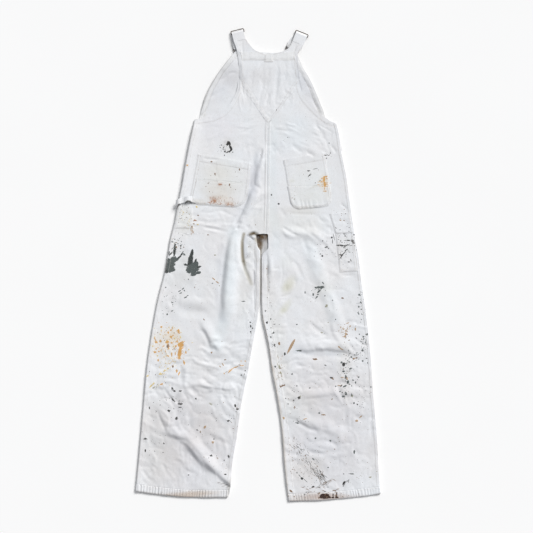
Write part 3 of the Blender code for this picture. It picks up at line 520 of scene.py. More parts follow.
# Broad coats of paint, as overlapping ovals: x, y, half length, half width, turn in degrees, colour.
# A coat of no colour is a place that the brush left bare.
COATS = [
    (-253, 14, 17, 9, 12, SLATE), (-259, 0, 16, 12, 20, SLATE), (-262, -13, 15, 11, 10, SLATE),
    (-243, 14, 10, 3.5, 5, SLATE), (-249, -15, 6, 5, 0, SLATE), (-246, 41, 17, 4, 85, SOOT),
    (-244.5, 58, 4, 2.5, 70, SOOT), (-257, 32, 8, 2.2, 48, SOOT), (-270, -18, 8, 7, 70, SOOT),
    (-232, 22, 8, 2.8, 38, SOOT), (-225, 31, 4, 3, 40, SOOT), (-221, 38, 3, 1.8, 50, SLATE),
    (-259, 20, 5, 1.6, 55, None), (-262, 30, 4, 1.4, 50, None),
    (-192, -10, 18, 17, 0, SLATE), (-203, -16, 10, 10, 0, SLATE), (-183, 3, 8, 8, 0, SLATE),
    (-176, -24, 9, 4, 8, SLATE), (-190, -29, 9, 5, 12, SLATE), (-199, 14, 20, 7.5, 80, SOOT),
    (-195, 33, 11, 5, 82, SOOT), (-193.5, 42, 4, 3, 90, SOOT), (-184, 11, 8, 3, 75, SOOT),
    (-213, 0, 8, 2.8, -8, SOOT), (-175, -7, 8, 3, 15, SOOT),
    (-86, 358, 7.5, 4.4, -62, BLACK), (-90.5, 355, 5, 3.4, 60, BLACK), (-81, 345, 8, 3.5, -60, BLACK),
    (-79, 339, 4, 3.4, 90, BLACK), (-83.5, 333.5, 5, 2.5, 35, BLACK), (-88, 332.5, 3.4, 2, -30, BLACK),
    (-97.5, 333.6, 3, 2.8, 0, BLACK),
    (194, 252, 10, 3.6, 86, ORANGE), (196, 236, 9, 3.2, 92, ORANGE), (200, 259, 5, 2.4, 0, ORANGE),
    (188, -681, 8, 6, 45, TAR), (192, -679, 7, 6, 0, TAR), (203, -680, 7, 7, 0, TAR),
    (186, -685, 7, 3, 0, TAR),
    (209, -685, 6, 3, 0, TAR), (196, -685.5, 13, 4, 0, TAR), (220.5, -679, 6, 1.9, 88, TAR),
    (220, -685.5, 4.4, 2.6, 0, TAR), (231, -678, 9, 1.8, 88, TAR), (231, -685.5, 5, 2.8, 0, TAR),
    (198, -675, 3, 2, 40, BROWN), (96.5, -666.5, 7, 2.6, -38, BROWN),
    (-231, -260, 20, 5.5, 84, ORANGE), (-228, -236, 9, 8, 0, ORANGE),
    (252, -294, 6, 5, 80, BLACK), (97, -240, 25, 4, 62, TAN),
    (129, -629.5, 5, 3.6, -40, SOOT), (162, -653, 5, 2.4, 10, BLACK), (252, -643, 7, 3, 58, BLACK),
]

# Stains that have soaked in, broad tints and painted shade, as ovals: x, y, half length, half width, turn,
# colour, strength.
OVALS_OF_STAIN_AND_SHADE = [
    (-108, 191, 52, 17, -5, (0.88, 0.78, 0.69), 0.5), (-131, 190, 13, 13, 0, (0.66, 0.46, 0.36), 0.65),
    (-84, 179, 18, 8, -8, (0.76, 0.60, 0.50), 0.5), (-176, 184, 30, 12, 0, (0.86, 0.80, 0.72), 0.5),
    (-112, 236, 9, 6, 0, (0.70, 0.50, 0.42), 0.6), (-95, 361, 8, 6, 0, (0.78, 0.77, 0.78), 0.6),
    # Painted shade: blue-grey down the middle of the seat.
    (-12, 244, 21, 88, -10, (0.82, 0.83, 0.86), 0.75), (-4, 318, 10, 34, -8, (0.88, 0.89, 0.90), 0.6),
    (-118, 218, 58, 30, 0, (0.91, 0.85, 0.79), 0.6), (-120, 270, 50, 30, 0, (0.96, 0.93, 0.88), 0.45),
    (194, 242, 16, 28, 0, (0.95, 0.82, 0.64), 0.5), (150, 196, 60, 30, 0, (0.93, 0.93, 0.90), 0.5),
    (205, 208, 12, 24, 0, (0.90, 0.86, 0.80), 0.4), (100, 246, 9, 6, 0, (0.86, 0.86, 0.78), 0.6),
    (166, 230, 22, 4, 25, (0.84, 0.82, 0.76), 0.6),
    # The first oval here is painted shade beside the fold at the crotch.
    (-28, 56, 14, 30, 0, (0.90, 0.90, 0.89), 0.6), (-150, -300, 150, 120, 0, (0.945, 0.935, 0.925), 0.7),
    (-210, -520, 170, 190, 0, (0.85, 0.828, 0.83), 0.92),
    (200, -500, 160, 210, 0, (0.88, 0.865, 0.872), 0.95),
    (180, -300, 160, 120, 0, (0.96, 0.95, 0.95), 0.8), (-190, -80, 110, 110, 0, (0.955, 0.94, 0.925), 0.8),
    (90, -60, 34, 20, 58, (0.87, 0.86, 0.75), 0.75), (80, -126, 32, 13, 52, (0.88, 0.87, 0.77), 0.7),
    (86, -66, 16, 11, 20, (0.82, 0.81, 0.70), 0.45), (76, -134, 12, 9, 0, (0.84, 0.83, 0.72), 0.45),
    # The last oval here and the oval after it are painted shade on the bib's inside, under the armholes.
    (84, 10, 24, 30, 0, (0.94, 0.935, 0.90), 0.5), (-105, 528, 44, 86, -30, (0.90, 0.90, 0.915), 0.8),
    (150, 510, 26, 80, 28, (0.91, 0.91, 0.925), 0.8),
    (-272, -228, 60, 50, 30, (0.97, 0.88, 0.74), 0.45), (-250, -210, 26, 20, 0, (0.94, 0.80, 0.60), 0.45),
    (-232, -40, 70, 26, 10, (0.90, 0.90, 0.88), 0.4), (-215, 10, 18, 40, 0, (0.86, 0.86, 0.84), 0.5),
    (-230, -680, 150, 14, 3, (0.84, 0.79, 0.74), 0.7), (-200, -676, 84, 11, 4, (0.82, 0.71, 0.60), 0.7),
    (230, -684, 150, 14, -3, (0.82, 0.76, 0.72), 0.7), (196, -684, 70, 13, 0, (0.72, 0.60, 0.53), 0.7),
    (120, -690, 50, 12, 0, (0.80, 0.73, 0.67), 0.7), (150, -600, 60, 50, 0, (0.92, 0.88, 0.82), 0.45),
    (-270, -560, 60, 90, 10, (0.95, 0.93, 0.89), 0.4), (120, -420, 70, 70, 0, (0.93, 0.92, 0.87), 0.4),
    (254, -300, 26, 110, 4, (0.90, 0.88, 0.83), 0.45), (-150, -470, 80, 80, 0, (0.95, 0.94, 0.91), 0.4),
    (190, -70, 36, 24, 0, (0.88, 0.87, 0.83), 0.4), (262, 60, 40, 30, 20, (0.90, 0.89, 0.86), 0.45),
    (-106, 246, 86, 84, 0, (0.975, 0.97, 0.935), 0.9), (152, 238, 70, 80, 0, (0.975, 0.975, 0.95), 0.9),
    (-216, 130, 30, 56, 0, (0.965, 0.965, 0.93), 0.9), (130, 120, 90, 40, 0, (0.97, 0.975, 0.95), 0.8),
    (105, 388, 86, 62, 0, (0.965, 0.99, 1.0), 0.8), (-112, 404, 74, 54, 0, (0.985, 0.975, 0.995), 0.7),
    (-38, -60, 26, 150, -4, (0.965, 0.955, 0.925), 0.7), (62, -240, 28, 210, 9, (0.955, 0.945, 0.915), 0.7),
    (20, 130, 60, 54, 0, (0.965, 0.96, 0.935), 0.7), (-300, -500, 50, 180, -6, (0.97, 0.965, 0.94), 0.6),
    (-88, 350, 26, 28, 0, (0.86, 0.84, 0.80), 0.45), (130, 160, 60, 16, 0, (0.90, 0.87, 0.81), 0.5),
]

# Splashes that dried as small flecks: x, y, half length, half width, turn in degrees.
FLECKS = {
    "slate": [
        (-236, 62, 3, 2, 20), (-228, 56, 3, 3, 0), (-228, 48, 2, 3, 0), (-226, 68, 2, 2, 0),
        (-245, 75, 2, 2, 0),
        (-253, 68, 2, 4, 0), (-262, 34, 3, 6, -10), (-218, 30, 3, 5, 60), (-253, -112, 5, 1.6, -5),
        (-272, -67, 2.5, 2, 0), (-268, -146, 3, 3, 0), (-205, -43, 2, 2, 0), (-232, -78, 6, 1.6, 30),
        (-221, -71, 5, 2, 35), (-228, -84, 5, 1.5, 25), (-217, -76, 2, 3, 35), (-43, -108, 6, 1.4, 4),
        (-213, -96, 5, 2, 25), (-207, -91, 3, 1.6, 10),
        (138, -82, 2, 4, 0), (185, -66, 14, 4, 10), (181, -76, 12, 3, 44), (170, -68, 4, 3, 0),
        (162, -88, 2.5, 6, 0), (172, -96, 7, 2.2, 50), (176, -88, 3, 2, 0), (298, -89, 4, 3.5, 0),
        (296, -124, 3, 3, 0), (296, -145, 3, 3, 0), (318, -140, 2, 4, 0), (320, -151, 2, 3, 0),
        (21, -136, 1.5, 4, 0), (37, -160, 2, 3, 0), (228, -161, 2, 2, 0), (114, -176, 3, 2, 0),
        (37, -213, 3, 3, 0), (45, -201, 4, 3, 0), (38, -186, 2, 2, 0), (320, -205, 5, 3, 10),
        (325, -199, 2, 3, 0), (310, -212, 4, 3, 0), (307, -253, 4, 4, 0), (316, -230, 2, 2, 0),
        (120, -253, 12, 2.6, 0), (50, -300, 3, 3, 0), (100, -322, 3, 3, 0), (275, -272, 3, 3, 0),
        (285, -266, 3, 2, 0), (308, -284, 3, 3, 0), (322, -289, 1.5, 3, 0), (246, -288, 4, 3.4, 30),
        (259, -291, 3.4, 2.6, 60), (252, -314, 4, 3, 0), (258, -330, 3, 7, 0), (264, -346, 4, 6, 0),
        (255, -358, 9, 3.5, 20), (258, -380, 5, 6, 0), (252, -388, 5, 4, 0), (276, -384, 3, 5, 0),
        (296, -331, 3, 3, 0), (287, -347, 2, 4, 0), (275, -357, 2, 2, 0), (332, -360, 2, 3, 0),
        (338, -366, 3, 3, 0), (283, -408, 3, 3, 0), (114, -357, 2, 3, 0), (152, -363, 3, 2, 0),
        (228, -358, 3, 2, 0), (180, -437, 4, 3, 0), (115, -466, 5, 3, 0), (118, -462, 2, 2, 0),
        (169, -511, 3, 3, 0),
        (213, -519, 4, 3, 0), (283, -551, 7, 3, 85),
        (206, -597, 2.4, 2.4, 0), (162, -572, 6, 2.2, -42), (275, -616, 8, 2, 0), (252, -616, 2, 2, 0),
        (140, -636, 8, 1.0, -42), (114, -613, 3, 1.5, -40), (122, -621, 4, 1.6, -50),
    ],
    "black": [
        (-108, 352, 3, 1.6, 0), (-102, 345, 2, 2, 40), (-99, 322, 1.4, 3, 0), (-75, 331, 2.4, 1.6, 0),
        (-102, 340, 3, 1.4, 0), (-112, 345, 2, 1.3, 0), (-93, 330, 6, 1.0, 0),
        (39, 205, 2.6, 3, 0), (60, 179, 3.5, 3, 0), (277, 70, 6, 4.4, 0), (281, 65, 3.6, 5, 10),
        (286, 72, 4, 1.6, 0),
        (266, 71, 6, 2.2, 0), (258, 71, 2, 1.6, 0), (235, 57, 4.5, 3.4, 0), (247, 56, 8, 2.8, -8),
        (254, 55, 4, 2.6, 0), (264, 58, 7, 2, 10), (252, 33, 15, 1.8, 50), (243, 21, 9, 1.6, 52),
        (240, 29, 6, 2, 5), (246, 28, 3.4, 3, 0), (217, 80, 3, 3.6, 0), (219, 69, 1.2, 9, 0),
        (293, 27, 4.4, 4, 0), (267, 8, 4, 1.8, 0), (273, 12, 1.4, 4, 20), (254, 90, 3.6, 2, 0),
        (282, 88, 3, 2.6, 0), (223, 82, 1.0, 12, 12), (189, 26, 4, 3, 0), (183, 31, 2, 2, 0),
        (202, 52, 3, 2.6, 0),
        (207, 48, 2, 2, 0), (190, 70, 2, 2, 0), (-252, -366, 7, 4, -50), (-246, -372, 4, 3, 0),
        (-228, -372, 6, 3, 0), (-250, -398, 9, 3, -50), (-230, -410, 8, 3, 0), (-230, -420, 8, 2, 0),
        (-262, -430, 5, 4, 0), (-240, -452, 5, 4, 0), (-320, -422, 2, 5, 0), (-332, -513, 7, 3, 0),
        (-332, -547, 2.5, 6, 0), (-170, -492, 2, 3, 0), (-183, -395, 3, 3, 0), (-138, -562, 4, 4, 0),
        (-87, -565, 3, 5, 0),
        (-100, -576, 2, 2, 0), (-68, -415, 4, 5, 0), (-61, -425, 4, 3, 0), (-88, -460, 6, 3, 0),
        (-61, -485, 4, 4, 0), (-205, -619, 3, 2, 0), (-50, -325, 2, 2.5, 0), (-40, -322, 2, 1.5, 0),
        (-38, -312, 2, 3, 0), (-23, -170, 3, 2, 0), (-22, -181, 2.5, 5, 0), (-22, -198, 2.5, 3, 0),
        (148, 276, 5, 2.2, 6), (151, 263, 8, 1.8, 46), (168, 282, 8, 0.8, 12), (198, 322, 4, 2.4, 0),
        (207, 322, 3, 1.2, 0),
        (201, 313, 2, 2, -50), (209, 358, 2, 2, 0), (26, -171, 3.4, 4, 0),
        (48, -237, 3.4, 4, 0), (78, -262, 3, 5, 0), (120, -391, 4.6, 5, 0), (216, -333, 5, 3, 0),
        (54, 455, 1.0, 3.4, 0),
    ],
    "brown": [
        (-137, 303, 3, 2.4, 0), (-55, 280, 2, 4, 0), (-177, 145, 3.4, 2, 0),
        (-190, 120, 3, 2, 0), (-195, 112, 2, 3, 0), (100, 196, 2, 1.6, 0), (168, -278, 8, 3, 0),
        (218, -335, 8, 2.4, -25), (73, -356, 9, 2.5, 15), (66, -359, 4, 3, 0), (282, -277, 4, 3, 0),
        (290, -275, 3, 3, 0), (192, -442, 9, 2, 0), (196, -643, 14, 0.9, 24), (211, -636, 9, 0.9, 20),
        (224, -634, 8, 0.8, -30), (106, -683, 2.4, 2, 0), (192, -665, 4, 1, 0), (223, -665, 5, 1.5, 0),
        (-147, 88, 3, 2, 0), (248, -99, 4, 3, 0),
        (62, -232, 3, 5, 0), (-97, -280, 4, 2, 0), (-137, -259, 2.6, 3, 0),
    ],
    "orange": [
        (-285, -183, 4, 3, 0), (-257, -193, 3, 2, 0), (-265, -200, 4, 3, -40), (-235, -195, 6, 5, 0),
        (-232, -201, 4, 3, 0), (-256, -212, 5, 4, 0), (-250, -208, 3, 2, 0), (-300, -228, 5, 4, 0),
        (-288, -225, 4, 5, 0), (-268, -228, 6, 4, 0), (-255, -230, 4, 3, 0), (-242, -240, 5, 3, 50),
        (-304, -258, 5, 4, 0), (-292, -256, 3, 3, 0), (-300, -248, 3, 3, 0), (-254, -264, 2.5, 8, 0),
        (-268, -268, 3, 3, 0), (-213, -258, 3, 5, 0), (-218, -288, 3, 6, 20), (-240, -312, 3, 6, 0),
        (-233, -320, 3, 7, -20), (-222, -228, 4, 3, 0), (-238, -226, 3, 4, 0), (-244, -262, 2, 6, 0),
        (-247, -246, 3, 2, 0), (-224, -246, 4, 2.4, 30), (-278, -240, 3, 2, 0), (-263, -246, 2.4, 3, 0),
        (-100, -320, 2, 3, 0), (-84, -314, 10, 1.8, 40), (-66, -302, 8, 1.8, 20), (-48, -297, 9, 1.6, 5),
        (-38, -284, 2, 3, 0), (-50, -284, 2, 2, 0), (188, 254, 4, 2, 40), (203, 253, 3, 2.4, 0),
        (188, 244, 3, 2, 10), (201, 236.5, 6, 1.8, 0), (197, 216, 7, 1.5, 0), (189, 230, 4, 1.5, 30),
        (195, 224, 1.4, 5, 0),
        (-209, 292, 4, 3, 0), (-284, -352, 3, 6, -50),
    ],
    "yellow": [
        (-275, -312, 5, 3, 30), (-288, -321, 5, 4, 0), (-265, -306, 4, 2.4, 10), (-296, -268, 3, 2, 0),
        (-248, -285, 2, 3, 0), (-272, -290, 3, 2, 0), (-310, -240, 3, 2, 0), (-246, -218, 3, 3, 0),
        (-316, -358, 7, 2.6, 50), (-308, -350, 6, 2.4, 40), (-181, 170, 3.6, 3, 0), (-178, 118, 3, 2, 0),
        (-262, -186, 2, 2, 0), (-229, -214, 2.4, 4, 0), (-204, -250, 2, 3, 0),
    ],
    "rust": [
        (-187, 130, 5.6, 3.4, 0), (-112, 236, 6, 3, 0), (-128, 188, 4, 5, 0), (-137, 186, 3, 3, 0),
        (-88, 178, 6, 2, -8),
    ],
    "tan": [
        (243, -184, 3, 2, 0), (251, -189, 4, 2.4, 0), (258, -205, 3, 8, 0), (253, -212, 6, 2, 0),
        (286, -190, 2.5, 6, 0), (260, -196, 7, 1.6, -20), (264, -172, 6, 1.4, 20), (270, -182, 5, 1.4, 60),
        (240, -244, 9, 2.4, -40), (246, -249, 5, 2, -30), (-120, -52, 7, 2, -35), (-131, -42, 7, 2, -35),
        (242, 131, 3, 2.6, 0), (282, -277, 4, 3, 0), (192, -442, 10, 1.6, -5), (138, -454, 7, 1.8, 15),
        (75, -452, 5, 3, -60), (302, -448, 7, 1.6, 42), (290, -460, 5, 3.6, 40), (-157, -478, 7, 3, 55),
        (-134, -523, 4, 4, 0), (-170, -492, 2, 3, 0), (62, -232, 3, 6, 0), (248, -332, 6, 1.6, 10),
        (240, -356, 8, 1.6, 0), (262, -336, 3, 5, 0), (-137, -259, 2.6, 3, 0),
        (-104, -294, 2, 6, 30), (-112, -300, 2, 4, 40),
    ],
    "olive": [
        (201, -122, 4, 5, 0), (-140, -410, 8, 2.6, -25), (276, -386, 3.4, 4.4, 0), (124, -388, 3, 3, 0),
        (330, -626, 6, 2, 0), (-308, -362, 5, 2, 40), (62, -300, 3, 6, 0), (66, -318, 2.4, 5, 10),
        (188, -200, 4, 2.4, 0), (-127, 28, 3, 2, 0), (-114, -62, 2, 2, 0), (206, -170, 2, 2, 0),
    ],
}

# Places with many thin strokes side by side: x, y, spread along, spread across, their direction
# in degrees, how many, their length, their width, colours.
STROKES = [
    (152, -584, 78, 13, -56, 60, 7.0, 0.5, "black slate slate"),
    (184, -622, 34, 11, -44, 26, 9.0, 0.6, "black slate black"),
    (178, -610, 30, 16, -46, 20, 12.0, 0.5, "slate black brown"),
    (196, -645, 26, 6, 26, 16, 10.0, 0.5, "slate brown"),
    (120, -545, 44, 10, -62, 34, 2.4, 0.8, "black brown"),
    (96, -560, 60, 8, -78, 26, 2.0, 0.8, "brown"), (256, -645, 14, 5, 44, 10, 6.0, 0.8, "black"),
    (170, -656, 50, 5, 2, 16, 4.0, 0.9, "brown black"), (190, -668, 60, 6, 4, 18, 4.0, 1.2, "brown black"),
    (252, 56, 26, 3, 2, 10, 5.0, 0.8, "black"), (250, 30, 22, 6, 50, 14, 5.0, 0.7, "black"),
    (272, -276, 40, 14, 38, 26, 4.0, 0.6, "black slate"),
    (-260, -232, 56, 40, 78, 60, 3.4, 0.8, "orange yellow"),
    (-272, -300, 34, 26, 60, 26, 4.0, 0.8, "yellow"), (-70, -304, 30, 3, 26, 10, 5.0, 0.8, "orange brown"),
    (256, -190, 22, 14, 50, 16, 4.0, 0.7, "tan"), (60, -320, 60, 8, 86, 20, 4.0, 0.8, "olive tan"),
    (-245, 58, 20, 12, 56, 22, 3.0, 0.7, "slate olive"), (-205, 128, 30, 8, 80, 14, 3.0, 0.8, "tan yellow"),
    (-196, 100, 12, 6, 86, 10, 5.0, 1.0, "tan"), (-110, 188, 12, 42, 88, 44, 4.6, 0.6, "rust tan rust"),
    (-131, 190, 7, 8, 86, 12, 3.4, 0.6, "rust"), (-108, 178, 44, 4, -6, 26, 4.0, 0.8, "rust"),
    (-300, -356, 12, 8, 46, 7, 5.0, 0.9, "yellow olive"), (195, 240, 22, 8, 4, 12, 5.0, 0.8, "orange"),
]

# Places where fine drops fell: x, y, spread across, spread along, how many, size, colours.
SPRAYS = [
    (-215, 138, 22, 30, 26, 1.5, "black brown yellow"), (-100, 342, 16, 16, 24, 1.0, "black"),
    (-234, 58, 22, 22, 26, 1.5, "slate brown"), (-262, -100, 24, 40, 26, 1.3, "slate"),
    (-262, -232, 42, 52, 90, 1.7, "orange orange yellow brown"), (-225, -262, 14, 34, 22, 1.5, "orange"),
    (-285, -330, 30, 30, 22, 1.4, "yellow black"), (-250, -410, 44, 40, 26, 1.4, "black"),
    (-160, -470, 60, 60, 26, 1.3, "black"), (-80, -440, 34, 60, 22, 1.4, "black brown"),
    (-110, -580, 56, 44, 20, 1.3, "black brown"), (-300, -520, 36, 60, 18, 1.3, "black"),
    (256, 58, 28, 48, 60, 1.4, "black black slate"), (180, -78, 24, 24, 22, 1.3, "slate"),
    (304, -120, 14, 52, 40, 1.4, "slate black"), (192, 44, 24, 30, 18, 1.2, "black slate"),
    (256, -196, 22, 22, 18, 1.4, "brown"), (312, -236, 14, 34, 46, 1.3, "black slate"),
    (262, -310, 22, 80, 80, 1.4, "slate black brown"), (44, -210, 14, 54, 34, 1.4, "black brown"),
    (64, -320, 20, 44, 24, 1.4, "olive brown"), (152, -592, 46, 56, 80, 1.2, "brown black slate"),
    (306, -400, 28, 56, 34, 1.3, "black slate"), (122, -460, 26, 16, 18, 1.3, "slate"),
    (250, -520, 60, 60, 26, 1.3, "slate brown"), (300, -620, 34, 34, 20, 1.3, "brown olive"),
    (110, -400, 24, 30, 22, 1.4, "brown black"), (160, 262, 36, 30, 12, 1.0, "black brown olive"),
    (205, 326, 18, 18, 14, 1.0, "black"), (120, 206, 30, 46, 12, 1.0, "olive"),
    (-120, 226, 56, 50, 30, 1.3, "brown"), (-20, 60, 16, 40, 16, 1.2, "brown"),
    (30, -60, 10, 90, 20, 1.3, "brown black"), (-24, -180, 8, 40, 12, 1.3, "black"),
    (240, 150, 24, 30, 12, 1.3, "brown black"), (-230, -676, 120, 12, 26, 1.3, "brown"),
    (220, -682, 110, 12, 40, 1.5, "brown"),
    (-160, -90, 100, 120, 24, 1.1, "brown slate"), (170, -360, 90, 60, 26, 1.2, "slate brown"),
    (60, 380, 120, 60, 8, 0.9, "slate"), (170, -160, 90, 70, 16, 1.1, "brown slate"),
]
PAINTS = {
    "slate": SLATE, "black": BLACK, "brown": BROWN, "orange": ORANGE, "yellow": YELLOW, "olive": OLIVE,
    "tan": TAN, "rust": RUST,
}

# Dirt in the bottom of a fold or along an edge, painted shade in folds and gaps, painted shadow under edges,
# bluish tints and dark seam lines, each as a line, its half width, colour and strength.
LINES_OF_DIRT_AND_SHADE = [
    # Painted shade with brown dirt in the groove along the left leg's inner fold, and painted shade beside it.
    ([(-42, 90), (-47, 66), (-47, 48), (-46, 26), (-44, 10)], 5.0, (0.48, 0.44, 0.36), 0.95),
    ([(-46, 62), (-46, 40), (-44, 18), (-40, 0)], 4.0, (0.72, 0.68, 0.60), 0.8),
    ([(-42, 8), (-37, -16), (-30, -34), (-20, -56)], 6.0, (0.66, 0.64, 0.57), 0.85),
    ([(-38, 78), (-38, 50), (-36, 24)], 7.0, (0.88, 0.90, 0.94), 0.8),
    # Painted shadow under the seat's edge and painted shade in the crotch window, both with brown dirt.
    ([(-22, 90), (-12, 93), (-4, 89), (2, 82)], 5.2, (0.14, 0.10, 0.045), 1.0),
    ([(-4, 74), (2, 66), (7, 56)], 8.0, (0.58, 0.51, 0.40), 0.8),
    ([(-12, 56), (-8, 36), (-4, 10)], 8.0, (0.86, 0.84, 0.81), 0.7),
    # Painted shade in a crease, and a painted shadow below a small ridge.
    ([(-32, 87), (-22, 81), (-14, 75)], 2.4, (0.40, 0.40, 0.42), 0.8),
    ([(-36, 21), (-24, 24)], 3.0, (0.74, 0.73, 0.72), 0.7),
    # Painted shade in the strip beside the right leg's inner seam, and a brownish painted shadow in the gap
    # between the legs.
    ([(22, 46), (25, 16), (29, -8), (31, -24)], 6.0, (0.80, 0.81, 0.82), 0.8),
    ([(28, -4), (27, -30), (29, -58), (31, -80)], 3.2, (0.62, 0.62, 0.62), 0.75),
    ([(8, 48), (8, 10), (7.8, -60), (6.4, -120)], 2.0, (0.30, 0.24, 0.15), 0.9),
    ([(18, 52), (19, 0), (19, -70)], 8, (0.88, 0.88, 0.89), 0.7),
    # Bluish tints along three ridges.
    ([(-72, 90), (-82, 0), (-86, -100), (-104, -180), (-124, -236)], 20, (0.92, 0.985, 1.0), 0.5),
    ([(150, 60), (176, -20), (206, -100), (222, -150)], 22, (0.93, 0.985, 1.0), 0.4),
    ([(46, 420), (42, 320), (40, 200), (54, 60)], 14, (0.945, 0.99, 1.0), 0.5),
    ([(19.6, 410), (19, 300), (18, 130)], 1.4, (0.86, 0.86, 0.87), 0.8),
    # Painted shade in three creases at the right end of the left hem.
    ([(-118, -642), (-100, -646), (-82, -653)], 1.8, (0.40, 0.38, 0.36), 0.9),
    ([(-112, -650), (-98, -653), (-84, -658)], 1.2, (0.60, 0.58, 0.55), 0.8),
    # Painted shadow along the bib's left edge.
    ([(-183, 428), (-165, 462), (-145, 516), (-116, 567), (-98, 591),
     (-66, 631)], 1.7, (0.66, 0.65, 0.64), 0.8),
    ([(-168, 440), (-150, 462), (-131, 515), (-102, 566), (-72, 600)], 1.5, (0.80, 0.80, 0.80), 0.7),
    # Painted shadow beside the right strap.
    ([(84, 640), (93, 648), (103, 668), (110, 686)], 2.4, (0.50, 0.48, 0.45), 0.6),
    # Painted shadow with brown dirt along the right leg's inner edge, and painted shade in a cleft.
    ([(12, -150), (24, -205), (42, -310)], 2.6, (0.62, 0.55, 0.46), 0.6),
    ([(-13, -24), (-11, -40), (-12, -60)], 3.0, (0.58, 0.58, 0.60), 0.6),
    ([(42, -300), (66, -440), (76, -560), (86, -680)], 5.0, (0.78, 0.72, 0.64), 0.6),
    # Painted shade in the right knee's crease.
    ([(112, -254), (170, -262), (240, -262)], 9.0, (0.86, 0.88, 0.90), 0.7),
    # Painted shadow with dirt along the foot of each leg hem.
    ([(-362, -668), (-300, -677), (-220, -685), (-88, -686)], 3.2, (0.46, 0.41, 0.37), 0.7),
    ([(90, -697), (200, -697), (300, -690), (361, -675)], 3.4, (0.36, 0.30, 0.26), 0.75),
    ([(-60, -600), (-84, -640), (-90, -684)], 4.0, (0.70, 0.66, 0.60), 0.5),
    ([(-38, 508), (-4, 462), (20, 426)], 1.4, (0.80, 0.80, 0.81), 0.7),
    ([(34, 428), (62, 465), (104, 508)], 1.3, (0.86, 0.86, 0.86), 0.6),
    # Painted shade along the yoke's right edge.
    ([(114, 612), (117, 575), (122, 540), (129, 510)], 1.5, (0.70, 0.70, 0.72), 0.7),
    ([(-183, 252), (-100, 246), (-30, 239)], 1.3, (0.76, 0.76, 0.75), 0.8),
    ([(88, 232), (150, 233), (208, 233)], 1.2, (0.82, 0.82, 0.81), 0.7),
    ([(-122, 302), (-123, 268), (-121, 244)], 1.5, (0.84, 0.84, 0.84), 0.7),
    # Painted shade beside the seat's middle, in the crease from the seat, and left of the ridge on the left
    # thigh.
    ([(-10, 276), (-18, 240), (-14, 214)], 16.0, (0.915, 0.92, 0.935), 0.8),
    ([(-22, 214), (-44, 170), (-66, 124)], 12.0, (0.935, 0.94, 0.95), 0.8),
    ([(-104, 50), (-112, -40), (-115, -110), (-104, -158)], 12.0, (0.89, 0.895, 0.91), 0.8),
    # Painted shadow in the open mouths above the left tool pocket.
    ([(-214, 182), (-207, 187), (-200, 186), (-196, 182)], 2.1, (0.05, 0.045, 0.03), 1.0),
    ([(-239, 166), (-237, 172), (-232, 177)], 2.3, (0.06, 0.055, 0.04), 1.0),
]
# The window at the crotch looks into the dark inside of the legs: painted shade with brown dirt on the inside
# of the front panels.
WINDOW_SHADE_AND_STAIN = [
    (13, 92, 46, 33, 0, (0.11, 0.055, 0.010), 1.0), (5, 60, 11, 26, 0, (0.24, 0.16, 0.08), 0.9),
    (23, 52, 8, 14, 0, (0.62, 0.60, 0.56), 0.6), (12, 20, 22, 50, 0, (0.84, 0.82, 0.79), 0.7),
]

BELOW_X, BELOW_Y = -6.0, -190.0  # the side below is painted like the other one turned about


def oval(x, y, row):
    """How far points are from the middle of an oval, as a share of its size."""
    ox, oy, half_long, half_wide, turn = row[:5]
    c, s = math.cos(math.radians(turn)), math.sin(math.radians(turn))
    return np.hypot(((x - ox) * c + (y - oy) * s) / half_long, ((y - oy) * c - (x - ox) * s) / half_wide)


def colour_points(mesh, x, y, shows, more_stain_and_shade, below):
    """Writes on each point of a piece of cloth the paint, the stains and the painted shade that lie there.
    The side that lies below has its own, as many, in other places."""
    x, y = np.where(below, BELOW_X - x, x), np.where(below, BELOW_Y - y, y)
    paint, stain_and_shade = np.zeros((len(x), 4)), np.ones((len(x), 4))
    for row in COATS:
        field = np.clip(1 - 0.5 * oval(x, y, row), 0, 1)
        if row[5] is None:
            paint[:, 3] -= np.where(field > 0.5, (field - 0.5) * 1.4, 0)
        else:
            stronger = field > paint[:, 3]
            paint[stronger] = np.concatenate([np.tile(row[5], (stronger.sum(), 1)), field[stronger, None]], 1)
    # The ovals, the lines and the further marks below multiply in stains and painted shade alike.
    for row in OVALS_OF_STAIN_AND_SHADE:
        amount = row[6] * soft(1.25 - oval(x, y, row))[:, None]
        stain_and_shade[:, :3] *= 1 - amount * (1 - np.array(row[5]))
    for line, wide, colour, strength in LINES_OF_DIRT_AND_SHADE:
        near = distance_to(line, x, y)[0]
        amount = strength * (~below * np.exp(-((near / wide) ** 3)))[:, None]
        stain_and_shade[:, :3] *= 1 - amount * (1 - np.array(colour))
    for row in more_stain_and_shade:
        amount = row[6] * (~below * soft(1.25 - oval(x, y, row)))[:, None]
        stain_and_shade[:, :3] *= 1 - amount * (1 - np.array(row[5]))
    stain_and_shade[:, 3] = 1
    paint[:, 3] *= shows
    for name, values in (("paint", paint), ("stain_and_shade", stain_and_shade)):
        layer = mesh.attributes.new(name, "FLOAT_COLOR", "POINT")
        layer.data.foreach_set("color", values.ravel())


ALL_CREASES = laid_out(
    FOLDS + SEAT_CREASES + LEFT_LEG_CREASES + RIGHT_LEG_CREASES + YOKE_CREASES + minor_creases()
)
BIB_CREASES = laid_out(BIB_CREASES)


# The left edge of the upper back sinks towards the bib.
LEFT_EDGE = ARMHOLE_LEFT[5:] + pairs(YOKE_SIDES, 1, 0)


